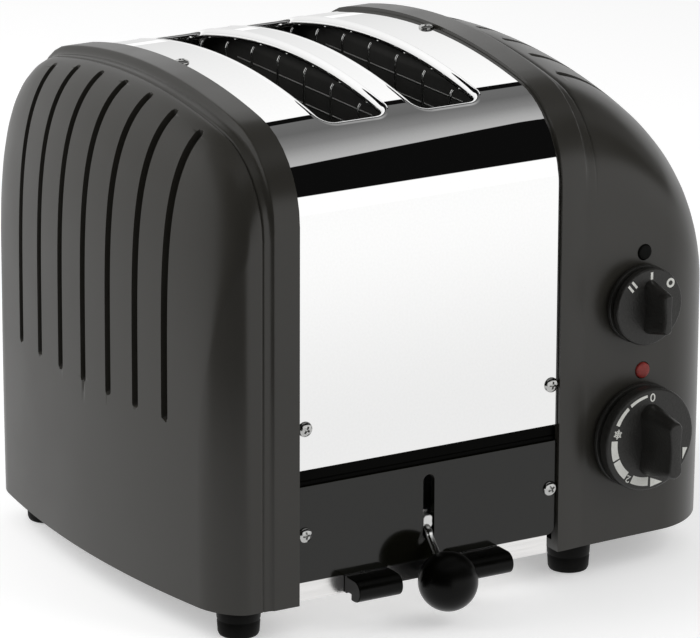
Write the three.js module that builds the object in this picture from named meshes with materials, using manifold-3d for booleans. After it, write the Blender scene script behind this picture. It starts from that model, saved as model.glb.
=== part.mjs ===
// Two-slice toaster: a bent steel wrap between two domed cast end casings, with a
// manual bread lever on the front and a dial timer in the wider right-hand casing.
// Millimetres, +Z up, the front faces -Y, and +X is to the right of someone facing it.

import * as THREE from 'three';
import { mergeVertices } from 'three/addons/utils/BufferGeometryUtils.js';
import Module from 'manifold-3d';

const wasm = await Module();
wasm.setup();

// Steel wrap over the bread chamber
const wrapHalfWidth = 61.7;
const wrapHalfDepth = 100.5;
const wrapTop = 218.3;
const wrapBottom = 71.4;
const wrapThickness = 0.9;
const crownRadius = 322.2;
const shoulderRadius = 39;

// Bread slots in the crown of the wrap
const slotEndMargin = 23.5;
const slotHalfLength = wrapHalfDepth - slotEndMargin;
const slotWidth = 28.5;
const slotCentre = 22;
const slotCornerRadius = 5;
const slotLipDepth = 6;

// End casings: flange beside the wrap, then a stepped band, then the dome
const flangeInner = 62;
const flangeWidth = 13.2;
const flangeProud = 1.6;
const domeStart = 76;
const domeTopStep = 3.6;
const domeFrontStep = 0.9;
const casingWall = 4;
const casingFloor = 4;
const casingBottom = 14.4;
const endBulgeHeight = 92;
const leftReach = 105.9;
const leftDomeDrop = 117.7;
const leftPlanRadius = 17.9;
const leftBow = 10.5;
const leftDraft = 3;
const rightReach = 153.7;
const rightDomeDrop = 67.5;
const rightPlanShare = 0.4337;
const rightPlanRadius = (rightReach - domeStart) * rightPlanShare;
const rightBow = 7.9;
const rightDraft = 0.7;
const controlSweep = THREE.MathUtils.degToRad(2.1);

// Grooves cast into both ends
const groovesPerSide = 3;
const grooveEndMargin = 38.43;
const groovePitch = (wrapHalfDepth - grooveEndMargin) / groovesPerSide;
const grooveWidth = 4.2;
const grooveDepth = 1.9;
const grooveFoot = 88.9;
const grooveInner = 84;

// Rim under the wrap that takes its screws
const rimInner = 50;
const rimThickness = 2.2;
const rimBite = 2;
const lugHalfHeight = 6;
const lugDepth = 3.4;

// Lower front and rear panels, and the dark strip above each
const panelHalfWidth = 61.5;
const panelThickness = 3;
const panelTop = 64.3;
const frontPanelBottom = 23.5;
const rearPanelBottom = 15.6;
const panelCornerRadius = 4;
const stripTop = 74.2;
const stripThickness = 2.6;

// Lever opening in the front panel
const leverSlotWidth = 5.4;
const leverSlotBottom = 31.9;
const leverSlotTop = 59.8;

// Feet
const footSpread = 79.7;
const footSetback = 17.4;
const footReach = wrapHalfDepth - footSetback;
const footTopRadius = 9.4;
const footBottomRadius = 8.6;
const footEdge = 1.6;

// Screws
const screwSpread = 58.7;
const screwHeadRadius = 3.2;
const screwHeadHeight = 1.6;
const screwShankRadius = 1.5;
const screwLength = 5.5;
const screwRecessWidth = 0.9;
const screwRecessDepth = 0.8;
const upperScrewHeight = 88.8;
const lowerScrewHeight = 43.8;

// Bread chamber: end plates, front and rear walls, heaters and guards
const plateInner = 48.8;
const plateThickness = 1;
const chamberEndMargin = 14.6;
const chamberHalfLength = wrapHalfDepth - chamberEndMargin;
const chamberWall = 1;
const chamberTopMargin = 18.9;
const chamberTop = wrapTop - chamberTopMargin;
const chamberBottom = 25;
const heaterSpread = 43.4;
const heaterThickness = 1;
const heaterBottom = 62;
const heaterTopMargin = 1;
const heaterTop = chamberTop - heaterTopMargin;
const heaterRibbonCount = 7;
const heaterRibbonWidth = 2.4;
const heaterRibbonProud = 0.4;
const heaterRibbonMargin = 8;
const guardInset = 2.4;
const guardWireRadius = 0.8;
const guardEndMargin = 17.9;
const guardWireCount = 7;
const guardWirePitch = (slotHalfLength - guardEndMargin) * 2 / (guardWireCount - 1);
const guardDrop = 4.6;
const guardRailHeight = 52;
const guardTipReach = 1.2;
const guardTipDrop = 2.2;

// Carriage: cross bar on two guide rods, two bread racks and the lever
const leverTravel = 17;
const rackWidth = 4;
const rackHeight = 4;
const rackLift = 38;
const rackRearMargin = 10;
const rackRearReach = chamberHalfLength - rackRearMargin;
const rackFingerCount = 7;
const rackFingerMargin = 16;
const rackFingerPitch = (chamberHalfLength - rackFingerMargin) * 2 / (rackFingerCount - 1);
const rackFingerHalfLength = 9;
const rackFingerWidth = 2;
const rackFingerRise = 3;
const crossbarHalfWidth = 27.5;
const crossbarDepth = 6.5;
const crossbarHeight = 7;
const crossbarStandoff = 2.5;
const guideSpread = 14;
const guideRadius = 1.8;
const guideTabThickness = 1.2;
const guideTabMargin = 5;
const guideTabLower = 26;
const guideTabUpper = 66;
const leverRadius = 1.7;
const leverHeight = 39.7;
const leverBendRadius = 6;
const leverStraight = 0.6;
const ballRadius = 12.4;
const ballStandoff = 15.5;
const ballForward = wrapHalfDepth + ballStandoff;
const ballHeight = 18.3;
const ballBoreDepth = 8;

// Crumb tray, hinged at the rear, with two finger pulls on its front lip
const trayLeft = 61.2;
const trayRight = 57.9;
const trayFloor = 15.6;
const trayThickness = 1;
const trayWallTop = 22.6;
const trayLipTop = 23.3;
const trayLipSetback = 0.6;
const hingeSetback = 8;
const hingeRear = wrapHalfDepth - hingeSetback;
const trayHingeGap = 5.6;
const trayRear = hingeRear - trayHingeGap;
const hingeHeight = 19.6;
const hingePinRadius = 1.5;
const knuckleRadius = 3.2;
const knuckleWidth = 9;
const knuckleSpread = 46;
const hingeBossSize = 9;
const hingeBossWidth = 8;
const hingeSocketDepth = 5;
const pullWidth = 20.6;
const pullLeftCentre = -29.4;
const pullRightCentre = 23.8;
const pullForward = 11.9;
const pullTop = 23;
const pullBottom = 13.8;
const pullBackLip = 2.6;

// Heights of the controls, as shares of the run from the casing's foot to the wrap's top
const timerHeightShare = 0.2276;
const lampHeightShare = 0.3605;
const selectorHeightShare = 0.5076;
const buttonHeightShare = 0.6111;

// Controls in the right-hand casing, placed along its swept front face
const controlAcrossShare = 0.3226;
const controlCentre = domeStart + (rightReach - domeStart) * controlAcrossShare;
const smallControlOffset = 2.9;
const bracketThickness = 1.2;
const bracketStandoff = 2;
const bracketPostRadius = 2.5;
const bracketPostMargin = 5;
const bracketSideMargin = 7;
const bracketHalfWidth = controlCentre - domeStart - bracketSideMargin;
const bracketPostInset = 4;
const bracketPostSpread = bracketHalfWidth - bracketPostInset;
const controlRun = wrapTop - casingBottom;
const timerHeight = casingBottom + controlRun * timerHeightShare;
const lampHeight = casingBottom + controlRun * lampHeightShare;
const selectorHeight = casingBottom + controlRun * selectorHeightShare;
const buttonHeight = casingBottom + controlRun * buttonHeightShare;
const bracketLowerMargin = 26.4;
const bracketUpperMargin = 9.1;
const bracketBottom = timerHeight - bracketLowerMargin;
const bracketTop = buttonHeight + bracketUpperMargin;
const timerKnobDepth = 10;
const timerGripThickness = 6.6;
const timerGripProud = 18.5;
const timerShaftRadius = 3;
const timerBodyDepth = 28;
const selectorKnobRadius = 16.7;
const selectorKnobBaseRadius = 15.2;
const selectorKnobDepth = 8;
const selectorGripLength = 21;
const selectorGripThickness = 4.6;
const selectorGripProud = 13.5;
const selectorShaftRadius = 2.5;
const selectorBodyDepth = 22;
const shaftSocketDepth = 8;
const knobSocketDepth = 6;
const knobEdge = 1;
const knobStandoff = 0.6;
const lampRadius = 3.4;
const lampProud = 1.6;
const lampHolderRadius = 4.6;
const lampHolderDepth = 16;
const buttonRadius = 3.2;
const buttonProud = 0.9;
const buttonTravel = 2;
const buttonSwitchSize = 12;
const buttonSwitchDepth = 20;
const timerKnobGap = 1.2;
const timerKnobTaper = 2;
const timerGripMargin = 7.6;
const timerKnobRadius = lampHeight - timerHeight - lampRadius - timerKnobGap;
const timerKnobBaseRadius = timerKnobRadius - timerKnobTaper;
const timerGripLength = (timerKnobRadius - timerGripMargin) * 2;
const timerBodyGap = 2.6;
const selectorBodyGap = 4;
const timerBodySize = (lampHeight - timerHeight - lampHolderRadius - timerBodyGap) * 2;
const selectorBodySize = (buttonHeight - selectorHeight - buttonSwitchSize / 2 - selectorBodyGap) * 2;

// Supply entry in the rear wall of the right-hand casing
const glandHeight = 36;
const glandOffset = 3;
const glandAcross = controlCentre - glandOffset;
const glandRadius = 7.5;
const glandCollarRadius = 10;
const glandCollarDepth = 3.4;
const glandBoreRadius = 3.8;
const terminalWidth = 34;
const terminalDepth = 16;
const terminalHeight = 13;
const terminalScrewCount = 3;
const terminalPocket = 5;
const terminalSetback = 24;

// Clearances and overrun
const seatGap = 0.2;
const runGap = 0.3;
const weld = 0.0005;
const overrun = 2;

// Shares and counts that shape the curves
const flangeEdgeShares = [[0, 0], [0.86, 0], [0.95, 0.12], [0.99, 0.45], [1, 0.9]];
const endFaceShares = [0.66, 0.33];
const domeSteps = 9;
const hollowSteps = 5;
const domeSpacing = 2.1;
const crownSteps = 6;
const shoulderSteps = 6;
const roundSteps = 4;
const screwSides = 10;
const wireSides = 4;
const ballRings = 10;
const leftDomeCurve = [4.4, 1.95];
const rightDomeCurve = [1.11, 1.865];

// Sizes that follow from the ones above
const flangeHalfDepth = wrapHalfDepth + flangeProud;
const flangeTop = wrapTop + flangeProud;
const rimInset = wrapThickness + seatGap;
const innerPlateInset = rimInset + seatGap;
const crossbarRear = chamberHalfLength + chamberWall + crossbarStandoff;
const crossbarFront = crossbarRear + crossbarDepth;
const crossbarMiddle = (crossbarRear + crossbarFront) / 2;
const panelInner = wrapHalfDepth - panelThickness;
const leftEnd = {
  side: -1,
  reach: leftReach,
  domeDrop: leftDomeDrop,
  domeCurve: leftDomeCurve,
  planRadius: leftPlanRadius,
  bow: leftBow,
  draft: leftDraft,
  sweep: 0,
};
const rightEnd = {
  side: 1,
  reach: rightReach,
  domeDrop: rightDomeDrop,
  domeCurve: rightDomeCurve,
  planRadius: rightPlanRadius,
  bow: rightBow,
  draft: rightDraft,
  sweep: controlSweep,
};

// Turns a three.js geometry into a solid with its shared corners merged.
function toSolid(geometry) {
  const bare = geometry.clone();
  bare.deleteAttribute('normal');
  bare.deleteAttribute('uv');
  const merged = mergeVertices(bare, weld);
  const source = Array.from(merged.index.array);
  const triangles = [];
  for (let i = 0; i < source.length; i += 3) {
    const [a, b, c] = source.slice(i, i + 3);
    if (a !== b && b !== c && c !== a) {
      triangles.push(a, b, c);
    }
  }
  const vertProperties = new Float32Array(merged.attributes.position.array);
  const triVerts = new Uint32Array(triangles);
  return new wasm.Manifold(new wasm.Mesh({ numProp: 3, vertProperties, triVerts }));
}

// Turns a solid back into a geometry that a mesh can hold.
function toGeometry(solid) {
  const cut = solid.getMesh();
  const geometry = new THREE.BufferGeometry();
  geometry.setAttribute('position', new THREE.BufferAttribute(new Float32Array(cut.vertProperties), 3));
  geometry.setIndex(new THREE.BufferAttribute(new Uint32Array(cut.triVerts), 1));
  geometry.computeVertexNormals();
  return geometry;
}

// A box between two corners.
function block(x0, x1, y0, y1, z0, z1) {
  const box = new THREE.BoxGeometry(x1 - x0, y1 - y0, z1 - z0);
  box.translate((x0 + x1) / 2, (y0 + y1) / 2, (z0 + z1) / 2);
  return toSolid(box);
}

// A closed outline swept in a straight line, with its two shape axes and its run given.
function prism(points, across, up, depth, start) {
  const shape = new THREE.Shape(points.map(([a, b]) => new THREE.Vector2(a, b)));
  const geometry = new THREE.ExtrudeGeometry(shape, { depth, bevelEnabled: false });
  const frame = new THREE.Matrix4().makeBasis(across, up, across.clone().cross(up));
  geometry.applyMatrix4(frame.setPosition(start));
  return toSolid(geometry);
}

const alongX = new THREE.Vector3(1, 0, 0);
const alongY = new THREE.Vector3(0, 1, 0);
const alongZ = new THREE.Vector3(0, 0, 1);

// Prisms of an outline in YZ swept along X, in XZ swept along Y, and in XY swept along Z.
function prismX(points, x0, x1) {
  return prism(points, alongY, alongZ, x1 - x0, new THREE.Vector3(x0, 0, 0));
}

function prismY(points, y0, y1) {
  return prism(points, alongX, alongZ, y1 - y0, new THREE.Vector3(0, y1, 0));
}

function prismZ(points, z0, z1) {
  return prism(points, alongX, alongY, z1 - z0, new THREE.Vector3(0, 0, z0));
}

// A body of revolution: profile points are radius and height, and the axis points along a direction.
function turned(profile, sides, origin, direction) {
  const geometry = new THREE.LatheGeometry(profile.map(([r, h]) => new THREE.Vector2(r, h)), sides);
  const turn = new THREE.Quaternion().setFromUnitVectors(alongY, direction);
  geometry.applyQuaternion(turn);
  geometry.translate(origin.x, origin.y, origin.z);
  return toSolid(geometry);
}

// A plain round bar from one point to another.
function bar(radius, from, to, sides) {
  const length = from.distanceTo(to);
  const direction = to.clone().sub(from).normalize();
  return turned([[0, 0], [radius, 0], [radius, length], [0, length]], sides, from, direction);
}

function vec(x, y, z) {
  return new THREE.Vector3(x, y, z);
}

// A rectangle with round corners about a centre.
function roundedRectangle(x0, x1, y0, y1, radius) {
  const points = [];
  const corners = [[x1, y1, 0], [x0, y1, 1], [x0, y0, 2], [x1, y0, 3]];
  for (const [x, y, quarter] of corners) {
    const cx = x === x1 ? x - radius : x + radius;
    const cy = y === y1 ? y - radius : y + radius;
    for (let i = 0; i <= roundSteps; i += 1) {
      const angle = (quarter + i / roundSteps) * Math.PI / 2;
      points.push([cx + radius * Math.cos(angle), cy + radius * Math.sin(angle)]);
    }
  }
  return points;
}

// The side view of the toaster: upright sides, round shoulders and a low crown.
function archOutline(halfDepth, top, bottom, shoulder = shoulderRadius, crown = crownRadius) {
  const across = halfDepth - shoulder;
  const crownHeight = top - crown;
  const shoulderHeight = crownHeight + Math.sqrt((crown - shoulder) ** 2 - across ** 2);
  const meeting = Math.atan2(across, shoulderHeight - crownHeight);
  const half = [[halfDepth, bottom], [halfDepth, (bottom + shoulderHeight) / 2]];
  for (let i = 0; i <= shoulderSteps; i += 1) {
    const angle = Math.PI / 2 + (meeting - Math.PI / 2) * i / shoulderSteps;
    half.push([across + shoulder * Math.sin(angle), shoulderHeight + shoulder * Math.cos(angle)]);
  }
  for (let i = 1; i < crownSteps / 2; i += 1) {
    const angle = meeting * (1 - 2 * i / crownSteps);
    half.push([crown * Math.sin(angle), crownHeight + crown * Math.cos(angle)]);
  }
  const mirrored = half.map(([y, z]) => [-y, z]).reverse();
  return [...half, [0, top], ...mirrored];
}

// The wrap's side view drawn in by an inset.
function wrapOutline(inset, bottom) {
  return archOutline(
    wrapHalfDepth - inset, wrapTop - inset, bottom, shoulderRadius - inset, crownRadius - inset,
  );
}

// Height of the wrap's outer face at a distance from the middle of the toaster.
function wrapHeight(y) {
  const across = wrapHalfDepth - shoulderRadius;
  const crownHeight = wrapTop - crownRadius;
  const shoulderHeight = crownHeight + Math.sqrt((crownRadius - shoulderRadius) ** 2 - across ** 2);
  const meeting = Math.atan2(across, shoulderHeight - crownHeight);
  const reach = Math.abs(y);
  if (reach < crownRadius * Math.sin(meeting)) {
    return crownHeight + Math.sqrt(crownRadius ** 2 - reach ** 2);
  }
  return shoulderHeight + Math.sqrt(Math.max(shoulderRadius ** 2 - (reach - across) ** 2, 0));
}

// A skin through rings of equal count, closed by a fan at the start and a point at the end.
function loft(rings, tip) {
  const count = rings[0].length;
  const points = rings.flat();
  const middle = rings[0].reduce((sum, p) => sum.add(p), vec(0, 0, 0)).divideScalar(count);
  points.push(middle, tip);
  const first = rings.length * count;
  const last = (rings.length - 1) * count;
  const faces = [];
  for (let i = 0; i < count; i += 1) {
    const next = (i + 1) % count;
    faces.push(first, next, i, first + 1, last + i, last + next);
    for (let ring = 0; ring < rings.length - 1; ring += 1) {
      const a = ring * count;
      const b = a + count;
      faces.push(a + i, a + next, b + next, a + i, b + next, b + i);
    }
  }
  let volume = 0;
  for (let i = 0; i < faces.length; i += 3) {
    const [a, b, c] = [points[faces[i]], points[faces[i + 1]], points[faces[i + 2]]];
    volume += a.dot(b.clone().cross(c));
  }
  const outward = volume > 0 ? faces : faces.reverse();
  const geometry = new THREE.BufferGeometry().setFromPoints(points);
  geometry.setIndex(outward);
  return toSolid(geometry);
}

// How far the dome falls at a share of the way out to the end face.
function domeFall(share, drop, [sharpness, spread]) {
  return drop * (1 - (1 - share ** spread) ** (1 / sharpness));
}

// How far the front and rear faces turn in at a share of the way out.
function planFall(share, end) {
  const out = domeStart + (end.reach - domeStart) * share;
  const past = Math.max(out - (end.reach - end.planRadius), 0);
  const corner = end.planRadius - Math.sqrt(Math.max(end.planRadius ** 2 - past ** 2, 0));
  return corner + (out - domeStart) * Math.tan(end.sweep);
}

// The skin of an end casing, drawn in by an inset. With a flange it starts with the raised band.
function casingSkin(end, inset, bottom, flanged, steps) {
  const rings = [];
  const endFace = (y, z) => {
    const low = Math.max(endBulgeHeight - z, 0) / (endBulgeHeight - casingBottom);
    return end.reach - inset - end.bow * (y / flangeHalfDepth) ** 2 - end.draft * low ** 2;
  };
  const outline = (depthFall, topFall) => archOutline(
    flangeHalfDepth - depthFall - inset, flangeTop - topFall - inset, bottom, shoulderRadius - inset,
  );
  if (flanged) {
    for (const [out, down] of flangeEdgeShares) {
      const x = flangeInner + flangeWidth * out;
      rings.push(outline(domeFrontStep * down, domeTopStep * down).map(([y, z]) => vec(x, y, z)));
    }
  } else {
    const x = flangeInner - overrun;
    rings.push(outline(domeFrontStep, domeTopStep).map(([y, z]) => vec(x, y, z)));
  }
  for (let i = 0; i <= steps; i += 1) {
    const share = 1 - (1 - i / steps) ** domeSpacing;
    const topFall = domeTopStep + domeFall(share, end.domeDrop, end.domeCurve);
    const depthFall = domeFrontStep + planFall(share, end);
    const ring = outline(depthFall, topFall);
    rings.push(ring.map(([y, z]) => vec(domeStart + (endFace(y, z) - domeStart) * share, y, z)));
  }
  const rim = rings[rings.length - 1];
  const middleHeight = (bottom + flangeTop - domeTopStep - end.domeDrop) / 2;
  for (const share of endFaceShares) {
    rings.push(rim.map((p) => {
      const y = p.y * share;
      const z = middleHeight + (p.z - middleHeight) * share;
      return vec(endFace(y, z), y, z);
    }));
  }
  const tip = vec(endFace(0, middleHeight), 0, middleHeight);
  const sided = rings.map((ring) => ring.map((p) => vec(p.x * end.side, p.y, p.z)));
  return loft(sided, vec(tip.x * end.side, tip.y, tip.z));
}

// Spans X between two distances out from the middle, on the casing's own side.
function sideSpan(side, inner, outer) {
  return side > 0 ? [inner, outer] : [-outer, -inner];
}

// A cast end casing: hollow, open towards the chamber, with grooves, a screw rim and lugs.
function endCasing(end) {
  let solid = casingSkin(end, 0, casingBottom, true, domeSteps);
  const core = casingSkin(end, grooveDepth, casingBottom, false, domeSteps);
  const [slabLow, slabHigh] = sideSpan(end.side, grooveInner, end.reach + overrun);
  for (let i = -groovesPerSide; i <= groovesPerSide; i += 1) {
    const y = i * groovePitch;
    const half = grooveWidth / 2;
    const outline = roundedRectangle(y - half, y + half, grooveFoot, flangeTop + overrun, half - weld);
    solid = solid.subtract(prismX(outline, slabLow, slabHigh).subtract(core));
  }
  solid = solid.subtract(casingSkin(end, casingWall, casingBottom + casingFloor, false, hollowSteps));
  return solid
    .add(screwRim(end.side))
    .add(screwLugs(end.side))
    .add(hingeBoss(end.side))
    .subtract(hingeSocket(end.side));
}

// The rim that lies under the wrap's edge and carries it.
function screwRim(side) {
  const [low, high] = sideSpan(side, rimInner, flangeInner + rimBite);
  const foot = stripTop + seatGap;
  const outer = prismX(wrapOutline(rimInset, foot), low, high);
  const inner = prismX(wrapOutline(rimInset + rimThickness, foot - overrun), low - overrun, high + overrun);
  const [holeLow] = sideSpan(side, screwSpread, screwSpread);
  let rim = outer.subtract(inner);
  for (const facing of [-1, 1]) {
    const reach = wrapHalfDepth * facing;
    const from = vec(holeLow, reach - (screwLength + overrun) * facing, upperScrewHeight);
    const to = vec(holeLow, reach, upperScrewHeight);
    rim = rim.subtract(bar(screwShankRadius + seatGap, from, to, roundSteps * 2));
  }
  const top = vec(holeLow, 0, wrapTop);
  const under = vec(holeLow, 0, wrapTop - screwLength - overrun);
  return rim.subtract(bar(screwShankRadius + seatGap, under, top, roundSteps * 2));
}

// Lugs behind the lower panels that take their screws.
function screwLugs(side) {
  const [low, high] = sideSpan(side, rimInner + rimBite, flangeInner + rimBite);
  const [holeAcross] = sideSpan(side, screwSpread, screwSpread);
  const height = lowerScrewHeight;
  const near = panelInner - seatGap;
  let lugs = null;
  for (const facing of [-1, 1]) {
    const faces = [near * facing, (near - lugDepth) * facing].sort((a, b) => a - b);
    const lug = block(low, high, faces[0], faces[1], height - lugHalfHeight, height + lugHalfHeight);
    const hole = bar(
      screwShankRadius + seatGap,
      vec(holeAcross, (near - lugDepth - overrun) * facing, height),
      vec(holeAcross, wrapHalfDepth * facing, height),
      roundSteps * 2,
    );
    const [rootLow, rootHigh] = sideSpan(side, flangeInner, flangeInner + rimBite);
    const rootReach = flangeHalfDepth - casingWall / 2;
    const roots = [(near - lugDepth) * facing, rootReach * facing].sort((a, b) => a - b);
    const root = block(rootLow, rootHigh, roots[0], roots[1], height - lugHalfHeight, height + lugHalfHeight);
    const drilled = lug.subtract(hole).add(root);
    lugs = lugs ? lugs.add(drilled) : drilled;
  }
  return lugs;
}

// The boss at the rear of each casing that holds an end of the tray's hinge pin.
function hingeBoss(side) {
  const [low, high] = sideSpan(side, flangeInner, flangeInner + hingeBossWidth);
  return block(
    low, high, hingeRear - hingeBossSize / 2, hingeRear + hingeBossSize / 2,
    casingBottom, hingeHeight + hingeBossSize / 2,
  );
}

function hingeSocket(side) {
  const mouth = vec((flangeInner - overrun) * side, hingeRear, hingeHeight);
  const back = vec((flangeInner + hingeSocketDepth) * side, hingeRear, hingeHeight);
  return bar(hingePinRadius + seatGap, mouth, back, roundSteps * 2);
}

// The bent sheet with its two slots, their turned-down lips and its screw holes.
function steelWrap() {
  const outer = prismX(wrapOutline(0, wrapBottom), -wrapHalfWidth, wrapHalfWidth);
  const inside = prismX(
    wrapOutline(wrapThickness, wrapBottom - overrun), -wrapHalfWidth - overrun, wrapHalfWidth + overrun,
  );
  const belowLips = prismX(
    wrapOutline(slotLipDepth, wrapBottom - overrun), -wrapHalfWidth - overrun, wrapHalfWidth + overrun,
  );
  let sheet = outer.subtract(inside);
  for (const side of [-1, 1]) {
    const centre = slotCentre * side;
    const low = centre - slotWidth / 2;
    const high = centre + slotWidth / 2;
    const t = wrapThickness;
    const mouth = roundedRectangle(low, high, -slotHalfLength, slotHalfLength, slotCornerRadius);
    const lipOutline = roundedRectangle(
      low - t, high + t, -slotHalfLength - t, slotHalfLength + t, slotCornerRadius + t,
    );
    const lip = prismZ(lipOutline, chamberTop - slotLipDepth, flangeTop).intersect(outer).subtract(belowLips);
    sheet = sheet.add(lip).subtract(prismZ(mouth, wrapBottom, flangeTop + overrun));
  }
  for (const side of [-1, 1]) {
    const x = screwSpread * side;
    const radius = screwShankRadius + seatGap;
    sheet = sheet.subtract(bar(
      radius, vec(x, -wrapHalfDepth - overrun, upperScrewHeight),
      vec(x, wrapHalfDepth + overrun, upperScrewHeight), roundSteps * 2,
    ));
    sheet = sheet.subtract(bar(
      radius, vec(x, 0, wrapTop - screwLength), vec(x, 0, wrapTop + overrun), roundSteps * 2,
    ));
  }
  return sheet;
}

// A lower panel with screw holes; the front one also has the lever's slot.
function basePanel(facing, bottom, slotted) {
  const outline = roundedRectangle(-panelHalfWidth, panelHalfWidth, bottom, panelTop, panelCornerRadius);
  const [near, far] = [panelInner * facing, wrapHalfDepth * facing].sort((a, b) => a - b);
  let panel = prismY(outline, near, far);
  for (const side of [-1, 1]) {
    const x = screwSpread * side;
    panel = panel.subtract(bar(
      screwShankRadius + seatGap, vec(x, near - overrun, lowerScrewHeight),
      vec(x, far + overrun, lowerScrewHeight), roundSteps * 2,
    ));
  }
  if (slotted) {
    const half = leverSlotWidth / 2;
    const slot = roundedRectangle(-half, half, leverSlotBottom, leverSlotTop, half - weld);
    panel = panel.subtract(prismY(slot, near - overrun, far + overrun));
  }
  return panel;
}

// The dark strip that closes the gap between the wrap and a lower panel.
function sealStrip(facing) {
  const outer = wrapHalfDepth - rimInset;
  const faces = [outer * facing, (outer - stripThickness) * facing].sort((a, b) => a - b);
  return block(-panelHalfWidth, panelHalfWidth, faces[0], faces[1], panelTop + seatGap, stripTop);
}

// A pan-head screw with a cross recess, head at the origin and pointing along +Z.
function screw() {
  const dome = [];
  const steps = roundSteps / 2;
  for (let i = 0; i <= steps; i += 1) {
    const angle = i / steps * Math.PI / 2;
    dome.push([screwHeadRadius * Math.cos(angle), screwHeadHeight * Math.sin(angle)]);
  }
  dome[steps][0] = 0;
  const profile = [[0, -screwLength], [screwShankRadius, -screwLength], [screwShankRadius, 0], ...dome];
  const body = turned(profile, screwSides, vec(0, 0, 0), alongZ);
  const half = screwRecessWidth / 2;
  const reach = screwHeadRadius / 2;
  const floor = screwHeadHeight - screwRecessDepth;
  const above = screwHeadHeight + overrun;
  return body
    .subtract(block(-reach, reach, -half, half, floor, above))
    .subtract(block(-half, half, -reach, reach, floor, above));
}

// A tapered foot with a rounded lower edge.
function foot() {
  const height = casingBottom;
  const profile = [
    [0, 0], [footBottomRadius - footEdge, 0], [footBottomRadius - footEdge / 3, footEdge / 3],
    [footBottomRadius, footEdge], [footTopRadius, height], [0, height],
  ];
  return turned(profile, roundSteps * 5, vec(0, 0, 0), alongZ);
}

// The upright sheet at each end of the bread chamber.
function innerPlate(side) {
  const [low, high] = sideSpan(side, plateInner, plateInner + plateThickness);
  const waist = stripTop + seatGap;
  const half = wrapHalfDepth - rimInset - stripThickness - seatGap;
  const lower = block(low, high, -half, half, chamberBottom, waist + overrun);
  return prismX(wrapOutline(innerPlateInset, waist), low, high).add(lower);
}

// The front or rear wall of the chamber. The front one has rack slots and guide tabs.
function chamberEndWall(facing, carriesGuides) {
  const half = plateInner - seatGap;
  const outside = chamberHalfLength + chamberWall;
  const faces = [chamberHalfLength * facing, outside * facing].sort((a, b) => a - b);
  let wall = block(-half, half, faces[0], faces[1], chamberBottom, chamberTop);
  if (!carriesGuides) {
    return wall;
  }
  for (const side of [-1, 1]) {
    const x = slotCentre * side;
    const reach = rackWidth / 2 + runGap;
    wall = wall.subtract(block(
      x - reach, x + reach, faces[0] - overrun, faces[1] + overrun,
      rackLift - runGap, rackLift + rackHeight + leverTravel + runGap,
    ));
  }
  const across = guideSpread + guideTabMargin;
  for (const height of [guideTabLower, guideTabUpper]) {
    wall = wall.add(block(
      -across, across, -crossbarFront, -chamberHalfLength, height, height + guideTabThickness,
    ));
  }
  return wall;
}

// A mica board with its heating ribbons standing a little proud on both faces.
function heater(x) {
  const half = heaterThickness / 2;
  const length = chamberHalfLength - seatGap;
  let board = block(x - half, x + half, -length, length, heaterBottom, heaterTop);
  const proud = half + heaterRibbonProud;
  const spacing = (heaterTop - heaterBottom) / heaterRibbonCount;
  for (let i = 0; i < heaterRibbonCount; i += 1) {
    const z = heaterBottom + spacing * (i + 1 / 2);
    const reach = length - heaterRibbonMargin;
    board = board.add(block(
      x - proud, x + proud, -reach, reach, z - heaterRibbonWidth / 2, z + heaterRibbonWidth / 2,
    ));
  }
  return board;
}

// A comb of upright guard wires on one rail. Each tip leans towards the slot's edge.
function wireGuard(side, outward) {
  const x = (slotCentre + outward * (slotWidth / 2 - guardInset)) * side;
  const lean = outward * side * guardTipReach;
  const rail = chamberHalfLength - seatGap;
  let comb = bar(guardWireRadius, vec(x, -rail, guardRailHeight), vec(x, rail, guardRailHeight), wireSides);
  const middle = (guardWireCount - 1) / 2;
  for (let i = 0; i < guardWireCount; i += 1) {
    const y = (i - middle) * guardWirePitch;
    const top = wrapHeight(y) - guardDrop - guardTipDrop;
    comb = comb.add(bar(guardWireRadius, vec(x, y, guardRailHeight), vec(x, y, top), wireSides));
    const tip = vec(x + lean, y, top + guardTipDrop);
    comb = comb.add(bar(guardWireRadius, vec(x, y, top - guardWireRadius), tip, wireSides));
  }
  return comb;
}

// A bread rack: a long bar with cross fingers that the slice stands on.
function breadRack(side) {
  const x = slotCentre * side;
  const half = rackWidth / 2;
  let rack = block(x - half, x + half, -crossbarRear, rackRearReach, rackLift, rackLift + rackHeight);
  const middle = (rackFingerCount - 1) / 2;
  for (let i = 0; i < rackFingerCount; i += 1) {
    const y = (i - middle) * rackFingerPitch;
    rack = rack.add(block(
      x - rackFingerHalfLength, x + rackFingerHalfLength, y - rackFingerWidth / 2, y + rackFingerWidth / 2,
      rackLift + rackHeight / 2, rackLift + rackHeight + rackFingerRise,
    ));
  }
  return rack;
}

// The bar in front of the chamber that joins both racks and runs on the guide rods.
function crossbar() {
  const base = leverHeight - crossbarHeight / 2;
  let solid = block(
    -crossbarHalfWidth, crossbarHalfWidth, -crossbarFront, -crossbarRear, base, base + crossbarHeight,
  );
  for (const side of [-1, 1]) {
    const x = guideSpread * side;
    const from = vec(x, -crossbarMiddle, base - overrun);
    const to = vec(x, -crossbarMiddle, base + crossbarHeight + overrun);
    solid = solid.subtract(bar(guideRadius + runGap, from, to, roundSteps * 2));
  }
  return solid;
}

function guideRod(side) {
  const x = guideSpread * side;
  const from = vec(x, -crossbarMiddle, guideTabLower + guideTabThickness);
  return bar(guideRadius, from, vec(x, -crossbarMiddle, guideTabUpper), roundSteps * 2);
}

// Direction of the lever's lower stretch, from its bend towards the ball.
const leverBend = vec(0, -wrapHalfDepth - leverStraight, leverHeight);
const ballPlace = vec(0, -ballForward, ballHeight);
const leverAim = ballPlace.clone().sub(leverBend).normalize();

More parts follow.
